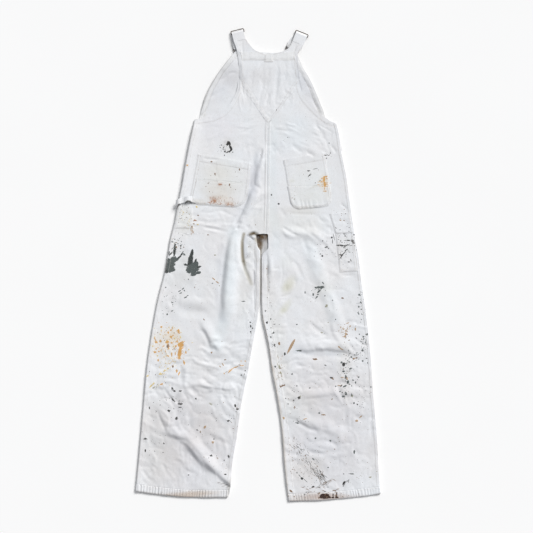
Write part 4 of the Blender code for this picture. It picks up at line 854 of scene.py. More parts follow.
def back_top(x, y):
    """The top of the back layer, with all its folds and creases."""
    x, y = np.asarray(x, float), np.asarray(y, float)
    z = BACK + SHOULDER * soft((y - SHOULDER_FROM) / SHOULDER_RUN)
    z = z + crease_lift(ALL_CREASES, x, y) + side_lift(x, y)
    legs = soft((120 - y) / 160)
    z += rumple(x, y, 47, 1) * (0.3 + 0.5 * legs)
    z += rumple(x + 0.4 * y, y - 0.3 * x, 21, 2) * (0.2 + 0.3 * legs)
    z += rumple(x, y, 9, 3) * (0.10 + 0.06 * legs)
    near = distance_to(LEFT_EDGE, x, y)[0]
    z -= 3.0 * soft((10 - near) / 10) * soft((y - 470) / 40) * (1 - 0.6 * soft((y - 570) / 30))
    return np.maximum(LOWEST_TOP, z)


def side_lift(x, y):
    """How much the rolled sides and the hems stand off the surface, most beside the seat."""
    z = 0.0
    for outline, sign, rise in ((SIDE_LEFT, 1, 1.8), (SIDE_RIGHT, -1, 0.8)):
        away = sign * (x - through(outline, y))
        z = z + rise * soft((30 - away) / 30) * soft((430 - y) / 30)
        if sign > 0:
            z = z + 3.6 * soft((44 - away) / 40) * soft((y - 150) / 60) * soft((430 - y) / 40)
    inner = np.minimum(y, 40.0)
    away = np.minimum(abs(x - through(INSIDE_LEFT, inner)), abs(x - through(INSIDE_RIGHT, inner)))
    return z + 1.4 * soft((24 - away) / 24) * soft((60 - y) / 40)


def front_top(x, y):
    """The upper side of the front panels, which lie flat but for the creases pressed into them."""
    pressed = 0.5 * soft(1.5 * rumple(x + 0.3 * y, y - 0.2 * x, 44, 91))
    crossing = 0.25 * (1 - abs(rumple(0.5 * x, y, 23, 93))) ** 6
    pressed += 0.4 * (1 - abs(rumple(x, 0.5 * y, 30, 92))) ** 5 + crossing
    return CLOTH + np.minimum(pressed, PRESSED)


def bib_top(x, y):
    """The upper side of the bib, which its buttons and buckles hold up."""
    near = np.minimum(*(np.hypot(x - bx, y - by) for bx, by in BUTTONS.values()))
    z = CLOTH + BUTTON_LIFT * (1 - soft((near - BUTTON_NEAR) / BUTTON_RUN))
    z = z + crease_lift(BIB_CREASES, x, y) + 0.25 * rumple(x, y, 17, 4) + 0.4
    return np.maximum(CLOTH, z)


def band(away, width, height, roll=1.6):
    """A sewn band beside an edge: how much it stands proud at a distance from the edge."""
    return height * soft((width + roll / 2 - away) / roll)


def pucker(place, across, pitch, seed):
    """The ripple that sewing draws into a band: uneven in pitch and a little slanted."""
    return rumple(place + 0.12 * across, 0.25 * across, pitch * 0.5, seed)


def ribs(place, across, pitch, seed):
    """The nearly even ribs that wear brings out along a turned hem, from -1 to 1."""
    drift = 0.9 * pucker(place, across, 5 * pitch, seed) + 0.35 * pucker(place, across, 2 * pitch, seed + 1)
    wave = np.cos(2 * math.pi * place / pitch + 2.6 * drift)
    return (wave - 0.35 * (1 - wave) ** 2) * (0.62 + 0.45 * pucker(place, across, 4 * pitch, seed + 2))


def armhole_relief(line, x, y, width=14.0):
    """A turned hem along an armhole."""
    near, _, place, _ = distance_to(line, x, y)
    inside = band(near, width, 1.0)
    groove = np.exp(-(((near - width + 1.6) / 1.3) ** 2))
    return 0.55 * inside + 0.22 * inside * pucker(place, near, 9, 11) - 0.35 * groove


def leg_relief(side, x, y):
    """The seams sewn into a back panel."""
    left = side["left"]
    outer = np.abs(x - through(side["outline"], y))
    z = band(outer, 12 if left else 10, 1.0) * (0.4 + 0.22 * pucker(y, outer, 11, 12))
    edge = INSIDE_LEFT if left else INSIDE_RIGHT
    inner = np.abs(x - through(edge, np.minimum(y, 40)))
    inseam = band(inner, 11 if left else 20, 1.0) * soft((40 - y) / 30)
    z += inseam * (0.45 + 0.3 * pucker(y, inner, 12, 13))
    seat = np.abs(x - through(CENTRE_BACK, y))
    felled = band(seat, 7.2, 1.0) * soft((y - 100) / 20)
    z += felled * (0.25 + 0.15 * pucker(y, seat, 8, 14)) + 0.5 * np.exp(-(((seat - 4.4) / 1.7) ** 2)) * felled
    return z + armhole_relief(side["armhole"], x, y) * soft((y - 405) / 12)


def yoke_relief(x, y):
    """The seams and hems sewn into the yoke and its arms."""
    left_seam = [(row[1], row[0]) for row in YOKE_SEAM]
    right_seam = [(row[2], row[0]) for row in YOKE_SEAM]
    z = np.zeros(np.shape(x))
    for line, seed in ((left_seam, 21), (right_seam, 22)):
        near, _, place, _ = distance_to(line, x, y)
        lap = band(near, 10, 1.0)
        deep = soft((34 - near) / 28)
        groove = np.exp(-(((near - 9.4) / 1.4) ** 2)) + 0.7 * np.exp(-(((near - 2.6) / 1.3) ** 2))
        z += 0.4 * lap - 0.4 * groove + 0.55 * deep * pucker(place, near, 9, seed)
    arms = [[(row[k], row[k + 1]) for row in arm] for arm, k in ((ARM_LEFT, 0), (ARM_RIGHT, 2))]
    sides = [[(row[c], row[0]) for row in YOKE_SIDES] for c in (1, 2)]
    for side, arm in zip(sides, arms):
        z += 1.3 * armhole_relief([(p[0], p[1]) for p in side + arm[1:]], x, y, 12)
    return z


def panel_top(side):
    return lambda x, y: back_top(x, y) + leg_relief(side, x, y)


def yoke_top(x, y):
    return back_top(x, y) + yoke_relief(x, y)


# ---------------------------------------------------------------- making meshes


def cells(rows, columns, ring=False):
    """Quads between rows of points, joined round from the last column to the first in a ring."""
    i, j = np.meshgrid(np.arange(rows - 1), np.arange(columns if ring else columns - 1), indexing="ij")
    next_j = (j + 1) % columns
    row, next_row = i * columns, (i + 1) * columns
    return np.stack([row + j, row + next_j, next_row + next_j, next_row + j], -1)


def shown(name, data, material, stands_for=()):
    """Puts a piece in the scene, on the root body."""
    piece = bpy.data.objects.new(name, data)
    bpy.context.scene.collection.objects.link(piece)
    data.materials.append(material)
    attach(piece, ROOT)
    if stands_for:
        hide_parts(*stands_for)
    return piece


def mesh_of(name, points, quads, sharp=50, painted=None, more_stain_and_shade=(), below=False):
    """A smooth mesh from points in millimetres. painted says on which points paint shows."""
    used, numbers = np.unique(quads, return_inverse=True)
    mesh = bpy.data.meshes.new(name)
    mesh.from_pydata((points[used] * MM).tolist(), [], numbers.reshape(quads.shape).tolist())
    mesh.update()
    if painted is not None:
        shows = painted[used]
        colour_points(mesh, points[used, 0], points[used, 1], shows, more_stain_and_shade, below & (shows > 0))
    mesh.shade_smooth()
    mesh.set_sharp_from_angle(angle=math.radians(sharp))
    return mesh


def shell(outside, inside, quads):
    """Points and quads of a closed body between two skins, the outside's quads facing out."""
    count = len(outside)
    starts, ends = quads.ravel(), np.roll(quads, -1, axis=1).ravel()
    rim = ~np.isin(starts * count + ends, ends * count + starts)
    a, b = starts[rim], ends[rim]
    walls = np.stack([b, a, a + count, b + count], -1)
    return np.concatenate([outside, inside]), np.concatenate([quads, quads[:, ::-1] + count, walls])


# The outside of each piece of cloth, for what is sewn or dropped on it: seen from above or below.
skins, undersides = [], []


def declared(outside, quads, flat, held):
    """Works out the flat size and the area of a piece of cloth, laid or folded; neither is kept."""
    plan = outside[..., :2]
    if flat is None:  # the longest row and the longest column
        flat = [np.linalg.norm(np.diff(plan, axis=k), axis=2).sum(k).max() for k in (1, 0)]
    corners = outside.reshape(-1, 3)[quads]
    across, over = corners[:, 2] - corners[:, 0], corners[:, 3] - corners[:, 1]
    area = np.linalg.norm(np.cross(across, over) * (1 if held == "folded" else (0, 0, 1)), axis=1).sum() / 2
    flat = [float(size) for size in flat]
    area = min(float(area), flat[0] * flat[1])


def cloth(name, outside, inside, quads, material, kept=True, more_stain_and_shade=(), flat=None, held="laid"):
    """A piece of cloth between two skins of points in rows, which stands for the solid of its name."""
    outside, inside = np.asarray(outside, float), np.asarray(inside, float)
    faces = quads.reshape(-1, 4)
    points, walls = shell(outside.reshape(-1, 3), inside.reshape(-1, 3), faces)
    painted = np.repeat([1.0, 0.0], len(points) // 2)
    mesh = mesh_of(name, points, walls, painted=painted, more_stain_and_shade=more_stain_and_shade, below=not kept)
    piece = shown(name + "_cloth", mesh, material, [name])
    declared(outside, faces, flat, held)
    (skins if kept else undersides).append((outside.reshape(-1, 3), faces))
    return piece


def panel_rows(ends, turned, columns, top, front=False, sag=0.0, spread=1.0):
    """The two skins of a panel from the end points of its rows. turned says how far the ends turn,
    and spread how many times as wide as usual the strip of close columns beside them is."""
    a, b = np.array(ends[0], float)[:, None, :], np.array(ends[1], float)[:, None, :]
    turned = np.array(turned, float)
    sag = np.broadcast_to(sag, len(a))[:, None]
    long = np.linalg.norm(b - a, axis=2)
    squeeze = np.minimum(1, long / 90)
    arc = np.radians(90 * np.arange(TURN_STEPS) / TURN_STEPS)
    flat = TURN_RUN * (np.arange(TURN_STEPS) + 0.3) / (TURN_STEPS + 0.3)
    near = TURN_RUN + np.array(NEAR_RUNS) * np.broadcast_to(spread, (len(a), 1))
    middle = (np.arange(columns) + 1) / (columns + 1)
    skins_made = []
    for inner in (False, True):
        start, run_of = (1.2, 1.8) if inner else (0.0, TURN_RUN)
        round_runs = start + run_of * (1 - np.cos(arc))
        sides = []
        for k in (0, 1):
            share = turned[:, k : k + 1]
            sides.append(np.concatenate([flat + (round_runs - flat) * share, near], 1))
        first, last = sides[0] * squeeze, long - sides[1][:, ::-1] * squeeze
        between = first[:, -1:] + (last[:, :1] - first[:, -1:]) * middle
        runs = np.concatenate([first, between, last], 1)
        f = runs / long
        xy = a + f[..., None] * (b - a)
        x, y = xy[..., 0], xy[..., 1] - sag * 4 * f * (1 - f)
        z = top(x, y) - (CLOTH if inner != front else 0)
        rim = FRONT_RIM if front else BACK_RIM
        for k, columns_here in ((0, range(TURN_STEPS)), (1, range(-1, -TURN_STEPS - 1, -1))):
            for angle, column in zip(arc, columns_here):
                rounded = rim + (z[:, column] - rim) * math.sin(angle)
                z[:, column] += (rounded - z[:, column]) * turned[:, k]
        skins_made.append(np.stack([x, y, z], -1))
    return skins_made


def leg_line(side, y, inside):
    """The outer and the inner end of a leg's rows, and how far the rows sag."""
    y = np.asarray(y, float)
    low = y - side["slant"] * soft((LEVEL_FROM - y) / (LEVEL_FROM - side["hem"]))
    sag = side["sag"] * soft((SAG_FROM - y) / SAG_RUN)
    outer = np.stack([through(side["outline"], y), y], -1)
    inner = np.stack([inside(low), low], -1)
    return ((outer, inner) if side["left"] else (inner, outer)), sag


def outer_first(side, outer, inner):
    """Values for both ends of each row, in the order in which the rows of that side run."""
    return np.stack([outer, inner] if side["left"] else [inner, outer], -1)


def back_panel(name, side, material):
    """A back panel, from the leg hem to the yoke's seam and the armhole."""
    edge = INSIDE_LEFT + OPEN_LEFT if side["left"] else INSIDE_RIGHT + OPEN_RIGHT
    start = side["hem"] + LEG_HEM + SEAM
    under, corner, over = CROTCH_ROWS
    below = np.linspace(start, under, int((under - start) / ROW_STEP))
    above = np.linspace(over, LAST_LEVEL, int((LAST_LEVEL - over) / ROW_STEP))
    levels = np.concatenate([below, [corner], above])
    inside = lambda y: np.where(y < CROTCH, through(edge, np.minimum(y, corner)), through(CENTRE_BACK, y))
    ends, sag = leg_line(side, levels, inside)
    turn = 1 - soft((levels - 50) / (CROTCH - 50))
    turned = outer_first(side, np.ones_like(turn), turn)
    # The rows from the last level to the armhole, and along the armhole to its top.
    steps = 6
    parts = steps * (len(YOKE_SEAM) - 1)
    hole = along(side["armhole"], parts)
    rise = np.interp(np.arange(parts + 1) / steps, np.arange(len(YOKE_SEAM)), [row[0] for row in YOKE_SEAM])
    seam = np.stack([through(YOKE_SEAM, rise, 1 if side["left"] else 2), rise], -1)
    k = 0 if side["left"] else 1
    shares = (np.arange(8) + 1)[:, None] / 9
    join_hole = ends[k][-1] + (hole[0] - ends[k][-1]) * shares
    join_seam = ends[1 - k][-1] + (seam[0] - ends[1 - k][-1]) * shares
    outer = np.concatenate([ends[k], join_hole, hole])
    inner = np.concatenate([ends[1 - k], join_seam, seam])
    fade = np.concatenate([np.ones(8), np.clip(1 - np.arange(parts + 1) / steps, 0, 1)])
    more = outer_first(side, fade, 0 * fade)
    ends = (outer, inner) if side["left"] else (inner, outer)
    sag = np.concatenate([sag, np.zeros(len(more))])
    turned = np.concatenate([turned, more])
    # The close columns fan out above the crotch, so that the others run straight past its corner.
    levels = np.concatenate([levels, np.full(len(more), 400)])
    jump = abs(float(through(edge, corner)) - CENTRE_BACK[0][1])
    spread = 1 + jump / NEAR_RUNS[-1] * soft((180 - levels) / 88) * (levels > CROTCH)
    outside, inside_skin = panel_rows(ends, turned, 86, panel_top(side), sag=sag, spread=spread[:, None])
    quads = cells(*outside.shape[:2])
    return cloth(name, outside, inside_skin, quads, material)


def front_panel(name, side, material):
    """A front panel, from the leg hem to the waist. It lies face down."""
    edge = INSIDE_LEFT + FORK_LEFT if side["left"] else INSIDE_RIGHT + FORK_RIGHT
    join = edge[-1][0]
    start = side["hem"] + LEG_HEM + SEAM
    levels = np.linspace(start, 334.7, 190)
    inside = lambda y: np.where(y < join, through(edge, np.minimum(y, join)), CENTRE_FRONT)
    ends, sag = leg_line(side, levels, inside)
    turn = 1 - soft((levels - 20) / (join - 20))
    turned = outer_first(side, np.ones_like(turn), turn)
    outside, inside_skin = panel_rows(ends, turned, 46, front_top, front=True, sag=sag)
    quads = cells(*outside.shape[:2])[..., ::-1]
    return cloth(name, outside, inside_skin, quads, material, False, WINDOW_SHADE_AND_STAIN)


def leg_hem(name, side, material):
    """A leg hem: a flattened ring of turned-up cloth below the panels, drawn in by its stitches."""
    edge = INSIDE_LEFT if side["left"] else INSIDE_RIGHT
    rings, top_points, end_points = 13, 170, 7
    share = np.linspace(0, 1, rings)
    (a, b), sag = leg_line(side, side["hem"] + LEG_HEM * share, lambda low: through(edge, low))
    long = np.linalg.norm(b - a, axis=1)[:, None]
    fat = (1 - (2 * share - 1) ** 6)[:, None]
    skins_made = []
    for floor, over, reach in ((0.0, 0.55, 3.4), (2.0, -1.6, 1.3)):
        straight = TURN_RUN + (long - 2 * TURN_RUN) * np.linspace(0, 1, top_points)
        arc = np.radians(np.linspace(-90, 90, end_points + 2)[1:-1])
        far = long - TURN_RUN + reach * np.cos(arc)
        near = np.tile(TURN_RUN - reach * np.cos(arc[::-1]), (rings, 1))
        runs = np.concatenate([straight, far, straight[:, ::-1], near], 1)
        f = runs / long
        xy = a[:, None] + f[..., None] * (b - a)[:, None]
        x, y = xy[..., 0], xy[..., 1] - sag[:, None] * 4 * f * (1 - f)
        rise = back_top(x, y)
        drawn = ribs(runs, LEG_HEM * share[:, None], 8.4, 31 if side["left"] else 35)
        drawn = drawn * (0.35 + 0.65 * fat)
        high = rise + over * (2 * fat - 1 if over > 0 else 1) + (0.85 if side["left"] else 0.45) * drawn
        turn = np.concatenate([-np.ones(top_points), np.sin(arc), np.ones(top_points), np.sin(arc[::-1])])
        low = floor + (0.4 * (1 - fat) if floor == 0 else 0)
        z = low + (high - low) * (turn + 1) / 2
        skins_made.append(np.stack([x, y, z], -1))
    outside, inside = skins_made
    ring = cells(rings, outside.shape[1], ring=True)
    cloth(name, outside, inside, ring, material)
    undersides.append(skins[-1])


def yoke(drill, cream):
    """The back yoke with its shoulder arms, and the facing round its neckline."""
    arm_steps, neck_steps = 24, 8
    lapped = [(row[0], row[1] - 0.8, row[2] + 0.8) for row in YOKE_SEAM[:-1]]
    sides = [(402, 26.6, 31.4)] + lapped + [YOKE_SEAM[-1]] + YOKE_SIDES
    levels = np.linspace(402, 620, 76)
    base_left, base_right = np.array(ARM_LEFT[0], float), np.array(ARM_RIGHT[0], float)
    x_first, x_last = base_left[0], base_right[2]
    stations = np.concatenate([
        np.linspace(x_first, base_left[2], arm_steps + 1),
        np.linspace(base_left[2], base_right[0], neck_steps + 1)[1:-1],
        np.linspace(base_right[0], x_last, arm_steps + 1),
    ])
    shares = (stations - x_first) / (x_last - x_first)
    left, right = through(sides, levels, 1)[:, None], through(sides, levels, 2)[:, None]
    x = left + shares * (right - left)
    y = np.broadcast_to(levels[:, None], x.shape)
    # The arms go on from the two ends of the last row.
    arm_rows = 26
    places = np.linspace(0, len(ARM_LEFT) - 1, arm_rows + 1)[1:]
    evenly = np.linspace(0, 1, arm_steps + 1)
    blocks = []
    for arm in (ARM_LEFT, ARM_RIGHT):
        x0, y0, x1, y1 = (
            through([(k, row[c]) for k, row in enumerate(arm)], places)[:, None] for c in range(4)
        )
        blocks.append((x0 + evenly * (x1 - x0), y0 + evenly * (y1 - y0)))
    gap = np.zeros((arm_rows, neck_steps - 1))
    x = np.concatenate([x, np.concatenate([blocks[0][0], gap, blocks[1][0]], 1)])
    y = np.concatenate([y, np.concatenate([blocks[0][1], gap + 620, blocks[1][1]], 1)])
    z = yoke_top(x, y) + 0.35 * soft((424 - y) / 10)
    outside, inside = np.stack([x, y, z], -1), np.stack([x, y, z - CLOTH], -1)
    quads = cells(*x.shape)
    made = np.ones(quads.shape[:2], bool)
    made[len(levels) - 1 :, arm_steps : arm_steps + neck_steps] = False
    size = np.ptp(outside.reshape(-1, 3)[quads[made].ravel()], axis=0)[:2]
    cloth("back_yoke", outside, inside, quads[made], drill, flat=size)
    # The facing lies along the neckline.
    first = np.searchsorted(levels, 598)
    under = z[first:] - 0.3
    wave = 0.25 * pucker(x[first:], 0, 9, 41) + 0.4 * rumple(x[first:], 3 * y[first:], 16, 42)
    wave -= 0.6 * (1 - soft((y[first:] - y[first:].min()) / 6))
    facing_out = np.stack([x[first:], y[first:], under + HEM_CLOTH + wave], -1)
    facing_in = np.stack([x[first:], y[first:], under], -1)
    quads = cells(*under.shape)
    made = np.ones(quads.shape[:2], bool)
    rows_below = len(levels) - 1 - first
    made[rows_below:, :] = False
    made[:, :3] = False
    made[:, -3:] = False
    made[rows_below : rows_below + 5, 3:arm_steps] = True
    made[rows_below : rows_below + 5, arm_steps + neck_steps : -3] = True
    size = np.ptp(facing_out.reshape(-1, 3)[quads[made].ravel()], axis=0)[:2]
    cloth("neck_facing", facing_out, facing_in, quads[made], cream, flat=size)


def sewn_grid(corners, step=2.6, near=(0, 0.7, 1.5, 2.4, 3.4, 4.6)):
    """Points in rows over a four-cornered piece with rounded lower corners, close together near
    its edges, with their distance in from the sides and the bottom and down from the top."""
    (ax, ay, _), (bx, by, _), (cx, cy, right_radius), (dx, dy, left_radius) = corners
    wide = (math.dist((ax, ay), (bx, by)) + math.dist((dx, dy), (cx, cy))) / 2
    tall = (math.dist((ax, ay), (dx, dy)) + math.dist((bx, by), (cx, cy))) / 2

    def stations(size):
        edge = np.array(near)
        middle = np.linspace(edge[-1], size - edge[-1], max(2, int((size - 2 * edge[-1]) / step)))
        return np.concatenate([edge[:-1], middle, (size - edge[:-1])[::-1]])

    u, v = np.meshgrid(stations(wide), stations(tall))  # v runs up from the lower edge
    for radius, mirrored in ((left_radius, False), (right_radius, True)):
        if not radius:
            continue
        from_side = wide - u if mirrored else u
        a, b = radius - from_side, radius - v
        corner = (a > 0) & (b > 0)
        scale = np.where(corner, np.maximum(a, b) / np.maximum(np.hypot(a, b), 1e-9), 1)
        from_side = np.where(corner, radius - a * scale, from_side)
        v = np.where(corner, radius - b * scale, v)
        u = wide - from_side if mirrored else from_side
    f, g = u / wide, v / tall
    x = (dx + f * (cx - dx)) * (1 - g) + (ax + f * (bx - ax)) * g
    y = (dy + f * (cy - dy)) * (1 - g) + (ay + f * (by - ay)) * g
    rim = np.minimum(np.minimum(u, wide - u), v)
    for radius, mirrored in ((left_radius, False), (right_radius, True)):
        if radius:
            a = radius - (wide - u if mirrored else u)
            b = radius - v
            inside_corner = (a > 0) & (b > 0)
            rim = np.where(inside_corner, radius - np.hypot(a, b), rim)
    return x, y, np.maximum(rim, 0), tall - v, u


def sewn_piece(name, corners, base, material, thick=CLOTH, relief=None, mouth=0.0):
    """A piece sewn flat on what lies below, with its stitched edges drawn down."""
    x, y, rim, down, run = sewn_grid(corners)
    under = base(x, y) + LAID
    sunk = np.where(down < 3, 0.35, 1.0)  # the mouth isn't sewn down
    lift = thick - 0.28 - 0.74 * sunk * (1 - soft(rim / 3.4)) - 0.16 * np.exp(-(((rim - 2.6) / 1.2) ** 2))
    lift += 0.36 * np.exp(-(((rim - 5.2) / 1.6) ** 2)) - 0.2 * np.exp(-(((rim - 8.6) / 1.3) ** 2))
    if mouth:  # an open top edge stands off a little
        open_top = soft((24 - down) / 24) * soft((rim - 3) / 14)
        under = under + mouth * open_top
    top = under + lift + (relief(x, y, rim, down, run) if relief else 0)
    outside = np.stack([x, y, top], -1)
    inside = np.stack([x, y, np.minimum(under, top - 0.5) - 0.4 * (rim < 2)], -1)
    return cloth(name, outside, inside, cells(*x.shape), material)


def pocket_relief(seed, ribbed=0.0):
    """The relief of a pocket: a hem at its mouth, puckers by its seams, and ribs along its foot."""

    def relief(x, y, rim, down, run):
        hem = 0.35 * soft((20 - down) / 1.6) - 0.3 * np.exp(-(((down - 19.5) / 1.2) ** 2))
        z = hem + 0.22 * pucker(down, rim, 9, seed) * soft((14 - rim) / 12)
        z = z + 0.16 * rumple(x, y, 13, seed + 1)
        foot = soft((34 - rim) / 20) * soft((down - 60) / 50)
        return z + ribbed * foot * pucker(run, 0, 8.5, seed + 2)

    return relief


def sewn_pieces(sides, drill, cream):
    """The pockets, their patches, the tool pockets and the tab at the neck."""
    tops = {key: panel_top(side) for key, side in sides.items()}

    for key, pocket, patch, ribs in (
        ("left", POCKET_LEFT, PATCH_LEFT, 0.25), ("right", POCKET_RIGHT, PATCH_RIGHT, 0.75)
    ):
        seed = 51 if key == "left" else 61
        sewn_piece("back_pocket_" + key, pocket, tops[key], drill, relief=pocket_relief(seed), mouth=0.7)
        on_pocket = lambda x, y, base=tops[key]: base(x, y) + 0.66
        plain = lambda x, y, rim, down, run, seed=seed, ribs=ribs: (
            0.14 * rumple(x, y, 11, seed + 5)
            + ribs * soft((34 - rim) / 22) * soft((down - 20) / 30) * pucker(run, 0, 8.5, seed + 2)
            + 0.25 * np.exp(-(((down - 6) / 2.5) ** 2))
        )
        sewn_piece("pocket_patch_" + key, patch, on_pocket, drill, relief=plain)
    crumpled = lambda seed: lambda x, y, rim, down, run: 0.3 * rumple(x, y, 8, seed) * soft(rim / 5)
    rolled = laid_out([
        ([(-196, 172), (-208, 168), (-220, 160), (-228, 146), (-231, 128), (-232, 110)], 2.6, 2.6, 0.9, 0),
        ([(-200, 164), (-210, 160), (-217, 152), (-221, 136), (-222, 112)], 2.4, 2.4, 0.7, 0),
        ([(-242, 118), (-216, 115), (-192, 116)], 3, 3, 0.5, 0),
    ])
    edged = lambda x, y, rim, down, run: crumpled(71)(x, y, rim, down, run) + crease_lift(rolled, x, y)
    sewn_piece("tool_pocket_left", TOOL_LEFT, tops["left"], drill, relief=edged, mouth=1.0)
    sewn_piece("tool_pocket_right_upper", TOOL_RIGHT_UPPER, tops["right"], drill, relief=crumpled(72))
    sewn_piece("tool_pocket_right_lower", TOOL_RIGHT_LOWER, tops["right"], drill, relief=crumpled(73))
    facing = lambda x, y: yoke_top(x, y) + 0.7
    sewn_piece("neck_tab", TAB, facing, cream, 0.8)


def bib(drill, cream):
    """The bib, face down, with its hems turned to the inside."""
    shares = np.linspace(0, len(BIB) - 1, 110)
    ends = [through([(k, row[c]) for k, row in enumerate(BIB)], shares) for c in range(4)]
    turn = np.where(ends[1] < 425, 1.0, 0.0)
    a, b = np.stack(ends[:2], -1), np.stack(ends[2:], -1)
    outside, inside = panel_rows((a, b), np.stack([turn, turn], -1), 60, bib_top, front=True)
    quads = cells(*outside.shape[:2])[..., ::-1]
    cloth("bib", outside, inside, quads, drill, kept=False)
    skins.append((inside.reshape(-1, 3), cells(*outside.shape[:2]).reshape(-1, 4)))

    def hem(name, edge, inwards, width, lift):
        runs = np.array([0.6, 1.2, 2.2, 3.5, 5, 7, 9, 11, width - 1.2, width - 0.5, width])
        x = edge[:, :1] + runs * inwards[0]
        y = edge[:, 1:] + runs * inwards[1]
        place = np.arange(len(edge))[:, None] * 3.0
        fall = soft((runs - width + 8) / 8)
        z = bib_top(x, y) + lift * (1 - 0.9 * fall)
        top = z + HEM_CLOTH - 0.72 * fall + 0.22 * pucker(place, runs, 8, 81)
        top -= 0.25 * np.exp(-(((runs - 2.2) / 1.2) ** 2))
        grid = cells(*x.shape)
        if inwards[0] > 0 or inwards[1] < 0:
            grid = grid[..., ::-1]
        cloth(name, np.stack([x, y, top], -1), np.stack([x, y, z], -1), grid, cream)

    places = shares[(ends[1] > 425.5)]
    rows = places[places < len(BIB) - 1 - 0.8]
    left, right = (
        np.stack([through([(k, row[c]) for k, row in enumerate(BIB)], rows) for c in pair], -1)
        for pair in ((0, 1), (2, 3))
    )
    hem("bib_hem_left", left, (1, 0), BIB_SIDE_HEM, LAID)
    hem("bib_hem_right", right, (-1, 0), BIB_SIDE_HEM, LAID)
    x0, y0, x1, y1 = BIB[-1]
    f = np.linspace(0.012, 0.988, 60)[:, None]
    top_edge = np.concatenate([x0 + (x1 - x0) * f, y0 + (y1 - y0) * f - 0.2], 1)
    hem("bib_hem_top", top_edge, (0, -1), BIB_TOP_HEM, LAID + 0.25)


def smooth_path(points, parts):
    """A smooth line through points in space, with parts steps between each two of them."""
    points = np.array(points, float)
    padded = np.concatenate([2 * points[:1] - points[1:2], points, 2 * points[-1:] - points[-2:-1]])
    line = []
    for p0, p1, p2, p3 in zip(padded, padded[1:], padded[2:], padded[3:]):
        for t in np.arange(parts) / parts:
            bend = (2 * p0 - 5 * p1 + 4 * p2 - p3) * t**2 + (3 * p1 - p0 - 3 * p2 + p3) * t**3
            line.append(0.5 * (2 * p1 + (p2 - p0) * t + bend))
    return np.array(line + [points[-1]])


def ribbon(name, path, across, half, material):
    """A strip of cloth with stitched edges along a path, which lies flat across it."""
    way = np.gradient(path, axis=0)
    up = np.cross(way, across)
    up /= np.linalg.norm(up, axis=1, keepdims=True)
    shares = np.array([-1, -0.96, -0.9, -0.82, -0.74, -0.5, -0.25, 0, 0.25, 0.5, 0.74, 0.82, 0.9, 0.96, 1])
    edge = (1 - np.abs(shares)) * half
    thick = CLOTH / 2 - 0.3 * (1 - soft(edge / 1.0)) - 0.16 * np.exp(-(((edge - 2.6) / 0.9) ** 2))
    middle = path[:, None] + across[:, None] * (shares * half)[:, None]
    lift = up[:, None] * thick[:, None]
    quads = cells(len(path), len(shares))
    facing = quads if up[0, 2] > 0 else quads[..., ::-1]
    flip = np.cross(across[0], way[0])[2] < 0
    facing = facing[..., ::-1] if flip else facing
    long = np.linalg.norm(np.diff(path, axis=0), axis=1).sum()
    top, under, flat = middle + lift, middle - lift, (2 * half, long)
    return cloth(name, top, under, facing, material, flat=flat, held="folded")


def strap(side, material, fold, lean, drift, back):
    """A strap from its shoulder arm, under through a slide, and back below to its buckle."""
    lean = math.radians(lean)
    out = np.array((-math.sin(lean), math.cos(lean), 0))
    across = np.array((math.cos(lean), math.sin(lean), 0))
    origin = np.array((*fold, 0.0))
    low, high = CLOTH / 2, BACK + SHOULDER - CLOTH / 2
    turn, wrap = (high - low) / 2, 2.1
    arc = [math.pi * k / 8 for k in range(9)]
    begin = -STRAP_STARTS[side]
    upper = [(begin - 4, high + 0.4), (begin, high + 0.4), (-16, high + 0.2), (-10, high + 0.1)]
    upper += [(turn * (math.sin(t) - 1), low + turn * (1 + math.cos(t))) for t in arc]
    under = [(-14, low), (-26, low), (-38, low)]
    under += [(-back - wrap * math.sin(t), low + wrap * (1 - math.cos(t))) for t in arc]
    under += [(-back + 9, low + 2 * wrap), (-back + 18, low + 2 * wrap)]
    path = [origin + out * s + (0, 0, z) for s, z in upper]
    for s, z in under:
        aside = drift * float(soft(-s / (back - 20)))
        path.append(origin + out * s + across * aside + (0, 0, z))
    line = smooth_path(path, 4)
    ribbon("strap_" + side, line, np.tile(across, (len(line), 1)), STRAP_HALF, material)


def hammer_loop(material, top):
    """A band sewn down at both ends, which stands off the left side seam."""
    path = []
    for x, y, above in LOOP:
        under = max(float(top(np.array([x]), np.array([y + step]))[0]) for step in (-9, -4, 0, 4, 9))
        path.append((x, y, under + LAID + 0.15 + CLOTH / 2 + above))
    line = smooth_path(path, 5)
    ribbon("hammer_loop", line, np.tile((0.0, 1.0, 0.0), (len(line), 1)), LOOP_HALF, material)


# ---------------------------------------------------------------- materials


